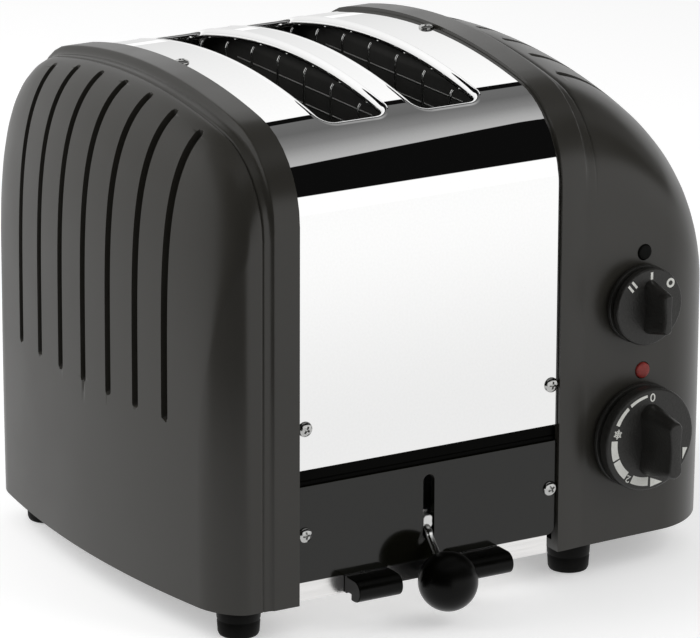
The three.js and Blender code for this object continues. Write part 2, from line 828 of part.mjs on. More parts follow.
// The bent rod that comes out of the front panel and ends inside the ball.
function leverArm() {
  const reach = ballPlace.distanceTo(leverBend) - ballRadius + ballBoreDepth - runGap;
  const path = new THREE.CurvePath();
  const before = leverBend.clone();
  const after = leverBend.clone().addScaledVector(leverAim, leverBendRadius);
  const end = leverBend.clone().addScaledVector(leverAim, reach);
  path.add(new THREE.LineCurve3(vec(0, -crossbarFront, leverHeight), before));
  path.add(new THREE.QuadraticBezierCurve3(
    before, leverBend.clone().add(vec(0, -leverBendRadius / 2, 0)), after,
  ));
  path.add(new THREE.LineCurve3(after, end));
  const round = new THREE.Shape();
  round.absarc(0, 0, leverRadius, 0, Math.PI * 2, false);
  const options = { steps: roundSteps * 2, extrudePath: path, curveSegments: roundSteps };
  return toSolid(new THREE.ExtrudeGeometry(round, options));
}

function leverBall() {
  const profile = [];
  const rings = ballRings;
  for (let i = 0; i <= rings; i += 1) {
    const angle = -Math.PI / 2 + Math.PI * i / rings;
    profile.push([Math.max(ballRadius * Math.cos(angle), 0), ballRadius * Math.sin(angle)]);
  }
  profile[0][0] = 0;
  profile[rings][0] = 0;
  const ball = turned(profile, ballRings * 2, ballPlace, alongZ);
  const mouth = ballPlace.clone().addScaledVector(leverAim, -ballRadius - overrun);
  const bottom = ballPlace.clone().addScaledVector(leverAim, -ballRadius + ballBoreDepth);
  return ball.subtract(bar(leverRadius + seatGap, mouth, bottom, roundSteps * 2));
}

// The crumb tray: a shallow pan whose front lip shows under the front panel.
function crumbTray() {
  const front = -wrapHalfDepth + trayLipSetback;
  const t = trayThickness;
  const low = trayFloor + t;
  let tray = block(-trayLeft, trayRight, front, trayRear, trayFloor, low);
  tray = tray.add(block(-trayLeft, trayRight, front, front + t, trayFloor, trayLipTop));
  tray = tray.add(block(-trayLeft, trayRight, trayRear - t, trayRear, trayFloor, trayWallTop));
  tray = tray.add(block(-trayLeft, -trayLeft + t, front, trayRear, trayFloor, trayWallTop));
  tray = tray.add(block(trayRight - t, trayRight, front, trayRear, trayFloor, trayWallTop));
  for (const side of [-1, 1]) {
    const x = knuckleSpread * side;
    const from = vec(x - knuckleWidth / 2, hingeRear, hingeHeight);
    const to = vec(x + knuckleWidth / 2, hingeRear, hingeHeight);
    const strap = block(from.x, to.x, trayRear - t, hingeRear, hingeHeight - t, hingeHeight + t);
    const knuckle = bar(knuckleRadius, from, to, roundSteps * 3).add(strap);
    const ends = vec(overrun, 0, 0);
    const bore = bar(
      hingePinRadius + runGap, from.clone().sub(ends), to.clone().add(ends), roundSteps * 2,
    );
    tray = tray.add(knuckle.subtract(bore));
  }
  return tray;
}

function hingePin() {
  const reach = flangeInner + hingeSocketDepth - seatGap;
  const from = vec(-reach, hingeRear, hingeHeight);
  return bar(hingePinRadius, from, vec(reach, hingeRear, hingeHeight), roundSteps * 2);
}

// A finger pull: a rounded nose that curls forward and down from the tray's lip.
function trayPull(centre) {
  const back = -wrapHalfDepth + trayLipSetback - seatGap;
  const radius = (pullTop - pullBottom) / 2;
  const noseAcross = -wrapHalfDepth - pullForward + radius;
  const noseHeight = pullBottom + radius;
  const outline = [[back, trayFloor], [back, pullTop], [noseAcross, pullTop]];
  const steps = roundSteps * 2;
  for (let i = 1; i <= steps; i += 1) {
    const angle = Math.PI / 2 + Math.PI * i / steps;
    outline.push([noseAcross + radius * Math.cos(angle), noseHeight + radius * Math.sin(angle)]);
  }
  outline.push([noseAcross + pullBackLip, pullBottom], [noseAcross + pullBackLip, pullBottom + pullBackLip]);
  outline.push([back - pullBackLip / 2, pullBottom + pullBackLip], [back - pullBackLip / 2, trayFloor]);
  return prismX(outline.reverse(), centre - pullWidth / 2, centre + pullWidth / 2);
}

// How far the right-hand casing's front and rear faces stand from the middle at a place along them.
function faceReach(x) {
  const share = (x - domeStart) / (rightReach - rightBow - domeStart);
  return flangeHalfDepth - domeFrontStep - planFall(share, rightEnd);
}

const faceRun = (rightReach - domeStart) / (rightReach - rightBow - domeStart);
const faceAngle = Math.atan(Math.tan(controlSweep) * faceRun);
const controlTurn = new THREE.Matrix4()
  .makeRotationZ(faceAngle)
  .setPosition(controlCentre, -faceReach(controlCentre), 0);
const glandTurn = new THREE.Matrix4()
  .makeRotationZ(-faceAngle)
  .setPosition(glandAcross, faceReach(glandAcross), 0);

const bracketFront = casingWall + bracketStandoff;
const bracketBack = bracketFront + bracketThickness;
const behindBracket = bracketBack + seatGap;

// Controls are modelled about the swept front face: y 0 is its outer face and -y is outward.
function knob(height, radius, baseRadius, depth, gripLength, gripThickness, gripProud, shaftRadius) {
  const outer = -knobStandoff - depth;
  const profile = [
    [0, 0], [baseRadius, 0], [radius, knobEdge], [radius, depth - knobEdge],
    [radius - knobEdge, depth], [0, depth],
  ];
  const skirt = turned(profile, roundSteps * 6, vec(0, -knobStandoff, height), vec(0, -1, 0));
  const half = gripLength / 2;
  const waist = gripThickness / 2;
  const outline = roundedRectangle(-waist, waist, height - half, height + half, waist - weld);
  const grip = prismY(outline, outer - gripProud, outer + overrun);
  const bottom = vec(0, -knobStandoff - knobSocketDepth, height);
  const socket = bar(shaftRadius + runGap, vec(0, overrun, height), bottom, roundSteps * 3);
  return skirt.add(grip).subtract(socket);
}

function controlShaft(height, radius) {
  const inner = vec(0, behindBracket + shaftSocketDepth - runGap, height);
  const outer = vec(0, -knobStandoff - knobSocketDepth + runGap, height);
  return bar(radius, inner, outer, roundSteps * 3);
}

// A switch or timer case behind the bracket, with a socket for what enters it.
function controlCase(height, width, tall, depth, socketRadius, socketDepth, across) {
  const left = across - width / 2;
  const low = height - tall / 2;
  const solid = block(left, left + width, behindBracket, behindBracket + depth, low, low + tall);
  const mouth = vec(across, behindBracket - overrun, height);
  const bottom = vec(across, behindBracket + socketDepth, height);
  return solid.subtract(bar(socketRadius, mouth, bottom, roundSteps * 3));
}

// The sheet that carries the timer, the switches and the lamp behind the front face.
function controlBracket() {
  const half = bracketHalfWidth;
  let sheet = block(-half, half, bracketFront, bracketBack, bracketBottom, bracketTop);
  for (const [height, radius, across] of controlHoles) {
    const from = vec(across, bracketFront - overrun, height);
    const to = vec(across, bracketBack + overrun, height);
    sheet = sheet.subtract(bar(radius, from, to, roundSteps * 3));
  }
  return sheet;
}

// Heights and radii of the holes that the controls pass through, and how far each is from the dials' axis.
const controlHoles = [
  [timerHeight, timerShaftRadius + runGap, 0],
  [selectorHeight, selectorShaftRadius + runGap, 0],
  [lampHeight, lampRadius + runGap, smallControlOffset],
  [buttonHeight, buttonRadius + runGap, smallControlOffset],
];

// Posts inside the right-hand casing that the bracket sits on.
function bracketPosts() {
  let posts = null;
  for (const height of [bracketBottom + bracketPostMargin, bracketTop - bracketPostMargin]) {
    for (const side of [-1, 1]) {
      const x = bracketPostSpread * side;
      const from = vec(x, casingWall / 2, height).applyMatrix4(controlTurn);
      const to = vec(x, bracketFront, height).applyMatrix4(controlTurn);
      const post = bar(bracketPostRadius, from, to, roundSteps * 2);
      posts = posts ? posts.add(post) : post;
    }
  }
  return posts;
}

// Holes through the swept front wall of the right-hand casing, in the toaster's own frame.
function controlBores() {
  let bores = null;
  for (const [height, radius, across] of controlHoles) {
    const from = vec(across, -overrun * 2, height).applyMatrix4(controlTurn);
    const to = vec(across, casingWall + overrun, height).applyMatrix4(controlTurn);
    const bore = bar(radius, from, to, roundSteps * 3);
    bores = bores ? bores.add(bore) : bore;
  }
  return bores;
}

function lampLens() {
  const back = behindBracket - seatGap;
  const dome = [];
  for (let i = 0; i <= roundSteps; i += 1) {
    const angle = i / roundSteps * Math.PI / 2;
    dome.push([lampRadius * Math.cos(angle), back + lampProud * Math.sin(angle)]);
  }
  dome[roundSteps][0] = 0;
  const profile = [[0, 0], [lampRadius, 0], ...dome];
  return turned(profile, roundSteps * 4, vec(smallControlOffset, back, lampHeight), vec(0, -1, 0));
}

function lampHolder() {
  const start = vec(smallControlOffset, behindBracket, lampHeight);
  const end = vec(smallControlOffset, behindBracket + lampHolderDepth, lampHeight);
  return bar(lampHolderRadius, start, end, roundSteps * 3);
}

function pushButton() {
  const from = vec(smallControlOffset, behindBracket + buttonTravel, buttonHeight);
  return bar(buttonRadius, from, vec(smallControlOffset, -buttonProud, buttonHeight), roundSteps * 4);
}

// The sleeve that a supply lead passes through, with a collar outside the rear wall.
function cordGland() {
  const inner = -casingWall - overrun * 2;
  const outside = vec(0, glandCollarDepth, glandHeight);
  const sleeve = bar(glandRadius, vec(0, inner, glandHeight), outside, roundSteps * 4);
  const collar = bar(glandCollarRadius, vec(0, runGap, glandHeight), outside, roundSteps * 4);
  const boreStart = vec(0, inner - overrun, glandHeight);
  const boreEnd = vec(0, glandCollarDepth + overrun, glandHeight);
  const bore = bar(glandBoreRadius, boreStart, boreEnd, roundSteps * 3);
  return sleeve.add(collar).subtract(bore);
}

function glandHole() {
  const from = vec(0, -casingWall - overrun * 2, glandHeight).applyMatrix4(glandTurn);
  const to = vec(0, overrun, glandHeight).applyMatrix4(glandTurn);
  return bar(glandRadius + seatGap, from, to, roundSteps * 4);
}

// The block on the casing's floor where the supply lead is clamped.
function terminalBlock() {
  const rear = faceReach(glandAcross) - casingWall - terminalSetback;
  const base = casingBottom + casingFloor;
  let body = block(
    glandAcross - terminalWidth / 2, glandAcross + terminalWidth / 2, rear - terminalDepth, rear,
    base, base + terminalHeight,
  );
  const pitch = terminalWidth / terminalScrewCount;
  for (let i = 0; i < terminalScrewCount; i += 1) {
    const x = glandAcross + (i - (terminalScrewCount - 1) / 2) * pitch;
    const top = vec(x, rear - terminalDepth / 2, base + terminalHeight + overrun);
    const bottom = vec(x, rear - terminalDepth / 2, base + terminalHeight - terminalPocket);
    body = body.subtract(bar(screwShankRadius * 2, bottom, top, roundSteps * 2));
  }
  return body;
}

// Finishes
const finishes = {
  casing: { color: 0x4a4945, roughness: 0.42, metalness: 0.15 },
  polished: { color: 0xd9dadb, roughness: 0.08, metalness: 1 },
  sheet: { color: 0xb6b7b8, roughness: 0.35, metalness: 0.9 },
  chassis: { color: 0x6f6f6e, roughness: 0.5, metalness: 0.8 },
  black: { color: 0x141412, roughness: 0.5, metalness: 0 },
  rubber: { color: 0x0e0e0d, roughness: 0.75, metalness: 0 },
  dial: { color: 0x34332f, roughness: 0.55, metalness: 0 },
  mica: { color: 0x2c2a26, roughness: 0.85, metalness: 0 },
  wire: { color: 0x8f8f8d, roughness: 0.3, metalness: 1 },
  lens: { color: 0x9c2b26, roughness: 0.2, metalness: 0 },
  ceramic: { color: 0xd8d2c4, roughness: 0.6, metalness: 0 },
};

const materials = Object.fromEntries(
  Object.entries(finishes).map(([name, values]) => [name, new THREE.MeshStandardMaterial(values)]),
);

const group = new THREE.Group();
const controls = new THREE.Group();

function place(parent, name, solid, finish) {
  const mesh = new THREE.Mesh(toGeometry(solid), materials[finish]);
  mesh.name = name;
  parent.add(mesh);
  return mesh;
}

// Casings, wrap and panels
place(group, 'left_end_casing', endCasing(leftEnd), 'casing');
const rightCasing = endCasing(rightEnd).add(bracketPosts()).subtract(controlBores()).subtract(glandHole());
place(group, 'right_end_casing', rightCasing, 'casing');
place(group, 'steel_wrap', steelWrap(), 'polished');
place(group, 'front_base_panel', basePanel(-1, frontPanelBottom, true), 'casing');
place(group, 'rear_base_panel', basePanel(1, rearPanelBottom, false), 'casing');
place(group, 'front_seal_strip', sealStrip(-1), 'black');
place(group, 'rear_seal_strip', sealStrip(1), 'black');

// Feet
for (const [sideName, side] of [['left', -1], ['right', 1]]) {
  for (const [endName, facing] of [['front', -1], ['rear', 1]]) {
    const piece = place(group, `foot_${endName}_${sideName}`, foot(), 'rubber');
    piece.position.set(footSpread * side, footReach * facing, 0);
  }
}

// Screws through the wrap's edges and the lower panels
for (const [sideName, side] of [['left', -1], ['right', 1]]) {
  const x = screwSpread * side;
  const top = place(group, `screw_top_${sideName}`, screw(), 'wire');
  top.position.set(x, 0, wrapTop);
  for (const [endName, facing] of [['front', -1], ['rear', 1]]) {
    for (const [levelName, height] of [['upper', upperScrewHeight], ['lower', lowerScrewHeight]]) {
      const piece = place(group, `screw_${endName}_${levelName}_${sideName}`, screw(), 'wire');
      piece.position.set(x, wrapHalfDepth * facing, height);
      piece.rotation.x = -facing * Math.PI / 2;
    }
  }
}

// Bread chamber
place(group, 'inner_plate_left', innerPlate(-1), 'chassis');
place(group, 'inner_plate_right', innerPlate(1), 'chassis');
place(group, 'chamber_front_wall', chamberEndWall(-1, true), 'chassis');
place(group, 'chamber_rear_wall', chamberEndWall(1, false), 'chassis');
for (const [name, x] of [['left', -heaterSpread], ['centre', 0], ['right', heaterSpread]]) {
  place(group, `heater_${name}`, heater(x), 'mica');
}
for (const [sideName, side] of [['left', -1], ['right', 1]]) {
  place(group, `wire_guard_${sideName}_inner`, wireGuard(side, -1), 'wire');
  place(group, `wire_guard_${sideName}_outer`, wireGuard(side, 1), 'wire');
}

// Carriage
for (const [sideName, side] of [['left', -1], ['right', 1]]) {
  place(group, `bread_rack_${sideName}`, breadRack(side), 'wire');
  place(group, `guide_rod_${sideName}`, guideRod(side), 'wire');
}
place(group, 'carriage_crossbar', crossbar(), 'sheet');
place(group, 'lever_arm', leverArm(), 'wire');
place(group, 'lever_ball', leverBall(), 'black');

// Crumb tray
place(group, 'crumb_tray', crumbTray(), 'sheet');
place(group, 'tray_hinge_pin', hingePin(), 'wire');
place(group, 'tray_pull_left', trayPull(pullLeftCentre), 'black');
place(group, 'tray_pull_right', trayPull(pullRightCentre), 'black');

// Controls, turned with the swept front face
place(controls, 'control_bracket', controlBracket(), 'chassis');
place(controls, 'timer_case', controlCase(
  timerHeight, bracketHalfWidth * 2, timerBodySize, timerBodyDepth, timerShaftRadius + runGap,
  shaftSocketDepth, 0,
), 'sheet');
place(controls, 'timer_shaft', controlShaft(timerHeight, timerShaftRadius), 'wire');
place(controls, 'timer_knob', knob(
  timerHeight, timerKnobRadius, timerKnobBaseRadius, timerKnobDepth, timerGripLength, timerGripThickness,
  timerGripProud, timerShaftRadius,
), 'dial');
place(controls, 'selector_switch', controlCase(
  selectorHeight, selectorBodySize, selectorBodySize, selectorBodyDepth, selectorShaftRadius + runGap,
  shaftSocketDepth, 0,
), 'ceramic');
place(controls, 'selector_shaft', controlShaft(selectorHeight, selectorShaftRadius), 'wire');
place(controls, 'selector_knob', knob(
  selectorHeight, selectorKnobRadius, selectorKnobBaseRadius, selectorKnobDepth, selectorGripLength,
  selectorGripThickness, selectorGripProud, selectorShaftRadius,
), 'dial');
place(controls, 'pilot_lamp_lens', lampLens(), 'lens');
place(controls, 'pilot_lamp_holder', lampHolder(), 'black');
place(controls, 'push_button', pushButton(), 'black');
place(controls, 'button_switch', controlCase(
  buttonHeight, buttonSwitchSize, buttonSwitchSize, buttonSwitchDepth, buttonRadius + runGap,
  buttonTravel * 2 + runGap, smallControlOffset,
), 'ceramic');
controls.applyMatrix4(controlTurn);
group.add(controls);

// Supply entry
place(group, 'cord_gland', cordGland(), 'rubber').applyMatrix4(glandTurn);
place(group, 'terminal_block', terminalBlock(), 'ceramic');

// The origin is under the middle of the whole toaster, on the surface that it stands on.
const extent = new THREE.Box3().setFromObject(group, true);
const middle = extent.getCenter(new THREE.Vector3());
group.position.set(-middle.x, -middle.y, -extent.min.z);

export default group;
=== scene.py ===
"""Looks of a two-slice toaster: a bent steel wrap between two cast end casings.

Sizes are millimetres in the toaster's own frame: X runs from the narrow left casing to the wide right one,
the front faces -Y, and Z is up from the surface it stands on. They are turned into the row frame's metres
where a mesh is made.
"""

import logging
import math
from collections.abc import Callable
from dataclasses import dataclass, field
from enum import Enum

import bmesh
import bpy
import numpy as np
from mathutils import Matrix, Vector

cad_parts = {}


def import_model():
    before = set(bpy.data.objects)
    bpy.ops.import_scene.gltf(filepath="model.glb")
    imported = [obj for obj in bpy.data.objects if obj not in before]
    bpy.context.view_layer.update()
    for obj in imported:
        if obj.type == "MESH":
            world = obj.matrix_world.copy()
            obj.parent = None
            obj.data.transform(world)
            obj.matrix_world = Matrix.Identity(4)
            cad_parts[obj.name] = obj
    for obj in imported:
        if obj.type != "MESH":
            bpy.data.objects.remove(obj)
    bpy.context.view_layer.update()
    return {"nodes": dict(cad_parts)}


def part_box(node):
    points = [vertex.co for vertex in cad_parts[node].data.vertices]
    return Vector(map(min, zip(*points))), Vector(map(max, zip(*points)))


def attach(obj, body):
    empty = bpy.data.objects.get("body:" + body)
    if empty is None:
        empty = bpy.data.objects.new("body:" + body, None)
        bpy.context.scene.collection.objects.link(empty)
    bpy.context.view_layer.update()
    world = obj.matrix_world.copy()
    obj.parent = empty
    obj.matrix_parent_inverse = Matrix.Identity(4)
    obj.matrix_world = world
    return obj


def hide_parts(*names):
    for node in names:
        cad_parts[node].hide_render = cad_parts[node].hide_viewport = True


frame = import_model()

MM = 0.001
LOOK = "_look"
LOG = logging.getLogger("toaster")

Pair = tuple[float, float]
Point = tuple[float, float, float]
Span = tuple[float, float, float, float]
Bore = tuple[Point, Point, float]


class Body(Enum):
    """The moving bodies of the toaster."""

    SHELL = "toaster_body"
    CARRIAGE = "bread_carriage"
    TIMER = "timer_dial"
    SELECTOR = "selector_dial"
    BUTTON = "push_button"
    TRAY = "crumb_tray"


def toaster_to_row() -> Matrix:
    """Where toaster millimetres lie in the row frame.

    Returns:
        The matrix from toaster millimetres to row metres.
    """
    low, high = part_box("steel_wrap")
    middle = (low + high) / 2
    return Matrix.Translation((middle.x, middle.y, 0.0)) @ Matrix.Scale(MM, 4)


TO_ROW = toaster_to_row()


# ---------------------------------------------------------------- finishes


class Graph:
    """The node tree of a material or a world, written a node at a time."""

    def __init__(self, owner: bpy.types.Material | bpy.types.World, kind: str = "Material") -> None:
        """Starts with an empty tree.

        Args:
            owner: The material or world.
            kind: Which of the two it is, as its output node says it.
        """
        owner.use_nodes = True
        self.owner = owner
        self.tree = owner.node_tree
        self.tree.nodes.clear()
        self.output = self.tree.nodes.new("ShaderNodeOutput" + kind)

    def add(self, kind: str, settings: dict | None = None, **inputs: object) -> bpy.types.Node:
        """Adds a node.

        Args:
            kind: The node type, without its ShaderNode prefix.
            settings: Attributes of the node itself.
            **inputs: Values or sockets by input name, with underscores for spaces.

        Returns:
            The new node.
        """
        node = self.tree.nodes.new("ShaderNode" + kind)
        for key, value in (settings or {}).items():
            setattr(node, key, value)
        for key, value in inputs.items():
            self.set(node.inputs[key.replace("_", " ")], value)
        return node

    def set(self, socket: bpy.types.NodeSocket, value: object) -> None:
        """Links a socket or gives it a value.

        Args:
            socket: The input.
            value: A number, a colour or another node's socket.
        """
        if isinstance(value, bpy.types.NodeSocket):
            self.tree.links.new(value, socket)
        else:
            socket.default_value = value

    def math(self, operation: str, a: object, b: object = 0.0, clamp: bool = False) -> bpy.types.NodeSocket:
        """A Math node's result.

        Args:
            operation: The node's operation.
            a: First value or socket.
            b: Second value or socket.
            clamp: Whether the result is kept between 0 and 1.

        Returns:
            The output socket.
        """
        node = self.add("Math", {"operation": operation, "use_clamp": clamp})
        self.set(node.inputs[0], a)
        self.set(node.inputs[1], b)
        return node.outputs[0]

    def between(self, value: object, low: float, high: float, start: float = 0.0, end: float = 1.0,
                smooth: bool = True) -> bpy.types.NodeSocket:
        """A value taken from one range to another and held at its ends.

        Args:
            value: The value or socket.
            low: Where the range starts.
            high: Where it ends.
            start: Result at low.
            end: Result at high.
            smooth: Whether it eases in and out.

        Returns:
            The output socket.
        """
        kind = "SMOOTHSTEP" if smooth else "LINEAR"
        node = self.add("MapRange", {"interpolation_type": kind})
        for key, number in (("Value", value), ("From Min", low), ("From Max", high), ("To Min", start),
                            ("To Max", end)):
            self.set(node.inputs[key], number)
        return node.outputs["Result"]

    def noise(self, coords: bpy.types.NodeSocket, scale: float, detail: float = 2.0,
              stretch: Point | None = None) -> bpy.types.NodeSocket:
        """Noise between 0 and 1.

        Args:
            coords: Where it is looked up.
            scale: Its scale.
            detail: Its octaves.
            stretch: How much each axis is scaled first.

        Returns:
            The noise socket.
        """
        if stretch:
            coords = self.add("Mapping", Vector=coords, Scale=stretch).outputs[0]
        return self.add("TexNoise", Vector=coords, Scale=scale, Detail=detail).outputs["Fac"]

    def mix(self, share: object, low: tuple, high: tuple) -> bpy.types.NodeSocket:
        """A colour between two.

        Args:
            share: 0 gives the first, 1 the second.
            low: First colour.
            high: Second colour.

        Returns:
            The colour socket.
        """
        node = self.add("Mix", {"data_type": "RGBA"})
        for index, value in ((0, share), (6, (*low, 1.0)), (7, (*high, 1.0))):
            self.set(node.inputs[index], value)
        return node.outputs[2]

    def choose(self, share: object, low: object, high: object) -> bpy.types.NodeSocket:
        """A number between two.

        Args:
            share: 0 gives the first, 1 the second.
            low: First number.
            high: Second number.

        Returns:
            The number's socket.
        """
        node = self.add("Mix", {"data_type": "FLOAT"})
        for index, value in ((0, share), (2, low), (3, high)):
            self.set(node.inputs[index], value)
        return node.outputs[0]

    def layer(self, share: object, low: bpy.types.Node, high: bpy.types.Node) -> bpy.types.Node:
        """A shader between two.

        Args:
            share: 0 gives the first, 1 the second.
            low: First shader.
            high: Second shader.

        Returns:
            The mixing node.
        """
        node = self.add("MixShader", Fac=share)
        self.set(node.inputs[1], low.outputs[0])
        self.set(node.inputs[2], high.outputs[0])
        return node

    def bump(self, height: bpy.types.NodeSocket, strength: float, distance: float,
             under: bpy.types.NodeSocket | None = None) -> bpy.types.NodeSocket:
        """A normal raised by a height.

        Args:
            height: The height socket.
            strength: Its strength.
            distance: Its full height in metres.
            under: A normal to start from.

        Returns:
            The normal socket.
        """
        node = self.add("Bump", Height=height, Strength=strength, Distance=distance)
        if under is not None:
            self.set(node.inputs["Normal"], under)
        return node.outputs[0]

    def finish(self, shader: bpy.types.Node) -> bpy.types.Material | bpy.types.World:
        """Closes the tree with its surface shader."""
        self.set(self.output.inputs["Surface"], shader.outputs[0])
        return self.owner

    def principled(self, normal: bpy.types.NodeSocket | None = None, **inputs: object) -> bpy.types.Material:
        """Closes the tree with a Principled shader.

        Args:
            normal: Its normal, if it isn't the surface's own.
            **inputs: Its other inputs by name, with underscores for spaces.

        Returns:
            The material.
        """
        shader = self.add("BsdfPrincipled", **inputs)
        if normal is not None:
            self.set(shader.inputs["Normal"], normal)
        return self.finish(shader)


def look(name: str) -> Graph:
    """Starts a finish's material, under a name that none of the part's own materials has."""
    return Graph(bpy.data.materials.new(name + LOOK))


@dataclass(frozen=True)
class Enamel:
    """Stove enamel over cast metal: satin, with a very fine orange peel and faint cloudiness."""

    name: str
    colour: Point
    lighter: Point
    roughness: float
    peel: float = 0.03
    gloss: float = 0.5
    grain: float = 1500.0
    cloud: float = 22.0
    depth: float = 0.00012

    def build(self) -> bpy.types.Material:
        """Makes the material.

        Returns:
            The material.
        """
        g = look(self.name)
        coords = g.add("TexCoord").outputs["Object"]
        cloud = g.noise(coords, self.cloud, 3.0)
        speck = g.noise(coords, self.grain, 2.0)
        tone = g.math("ADD", g.math("MULTIPLY", cloud, 0.6), g.math("MULTIPLY", speck, 0.4))
        colour = g.mix(g.between(tone, 0.35, 0.65), self.colour, self.lighter)
        rough = g.between(cloud, 0.3, 0.7, self.roughness - 0.03, self.roughness + 0.04)
        normal = g.bump(speck, self.peel, self.depth)
        return g.principled(normal, Base_Color=colour, Roughness=rough, Specular_IOR_Level=self.gloss)


@dataclass(frozen=True)
class Metal:
    """Bare metal, brushed along one axis or polished with a slight wave."""

    name: str
    colour: Point
    roughness: float
    grain: float = 0.0
    stretch: Point = (1.0, 1.0, 1.0)
    wave: float = 0.0
    spread: float = 0.04
    brushed_shade: float = 0.93
    polished_shade: float = 0.985
    line_scale: float = 900.0
    line_depth: float = 0.00006
    wave_scale: float = 9.0
    wave_depth: float = 0.001

    def build(self) -> bpy.types.Material:
        """Makes the material.

        Returns:
            The material.
        """
        g = look(self.name)
        coords = g.add("TexCoord").outputs["Object"]
        lines = g.noise(coords, self.line_scale, 4.0, self.stretch)
        haze = g.noise(coords, 30.0, 3.0)
        shade = self.brushed_shade if self.grain > 0.0 else self.polished_shade
        darker = tuple(c * shade for c in self.colour)
        colour = g.mix(g.between(lines, 0.3, 0.7), darker, self.colour)
        rough = g.between(haze, 0.3, 0.7, self.roughness, self.roughness + self.spread)
        normal = None
        if self.wave > 0.0:
            normal = g.bump(g.noise(coords, self.wave_scale, 0.0), self.wave, self.wave_depth)
        if self.grain > 0.0:
            normal = g.bump(lines, self.grain, self.line_depth, normal)
        return g.principled(normal, Base_Color=colour, Roughness=rough, Metallic=1.0)


@dataclass(frozen=True)
class Moulding:
    """Moulded plastic, rubber or ceramic with a fine grain."""

    name: str
    colour: Point
    lighter: Point
    roughness: float
    grain: float = 0.2
    pitch: float = 1400.0
    depth: float = 0.00008
    gloss: float = 0.5

    def build(self) -> bpy.types.Material:
        """Makes the material.

        Returns:
            The material.
        """
        g = look(self.name)
        coords = g.add("TexCoord").outputs["Object"]
        speck = g.noise(coords, self.pitch, 3.0)
        cloud = g.noise(coords, 45.0, 2.0)
        tone = g.math("ADD", g.math("MULTIPLY", speck, 0.5), g.math("MULTIPLY", cloud, 0.5))
        colour = g.mix(g.between(tone, 0.35, 0.65), self.colour, self.lighter)
        rough = g.between(cloud, 0.3, 0.7, self.roughness - 0.04, self.roughness + 0.05)
        normal = g.bump(speck, self.grain, self.depth)
        return g.principled(normal, Base_Color=colour, Roughness=rough, Specular_IOR_Level=self.gloss)


@dataclass(frozen=True)
class Lens:
    """A deep-dyed lamp lens with a faint grain."""

    name: str
    colour: Point
    roughness: float = 0.5

    def build(self) -> bpy.types.Material:
        """Makes the material.

        Returns:
            The material.
        """
        g = look(self.name)
        coords = g.add("TexCoord").outputs["Object"]
        depth = g.noise(coords, 700.0, 2.0)
        colour = g.mix(g.between(depth, 0.3, 0.7), tuple(c * 0.7 for c in self.colour), self.colour)
        normal = g.bump(depth, 0.1, 0.0001)
        return g.principled(normal, Base_Color=colour, Roughness=self.roughness)


@dataclass(frozen=True)
class Board:
    """Dark, flaky mica, its colour partly its own dark tone and partly painted shade of the chamber's inside,
    paler along level lines where the ribbons have marked it.
    """

    name: str
    colour: Point
    line: Point
    low: float = 62.0
    high: float = 198.4
    count: int = 7
    roughness: float = 0.55

    def build(self) -> bpy.types.Material:
        """Makes the material.

        Returns:
            The material.
        """
        g = look(self.name)
        coords = g.add("TexCoord").outputs["Object"]
        height = g.add("SeparateXYZ", Vector=coords).outputs["Z"]
        spacing = (self.high - self.low) / self.count * MM
        turn = g.math("MULTIPLY", g.math("SUBTRACT", height, self.low * MM), 2 * math.pi / spacing)
        wave = g.math("COSINE", turn)
        line = g.between(wave, -1.0, -0.8, 0.7, 0.0)
        flakes = g.noise(coords, 260.0, 5.0)
        shade = g.math("ADD", line, g.math("MULTIPLY", flakes, 0.3), clamp=True)
        colour = g.mix(shade, self.colour, self.line)
        normal = g.bump(flakes, 0.25, 0.0003)
        return g.principled(normal, Base_Color=colour, Roughness=self.roughness)


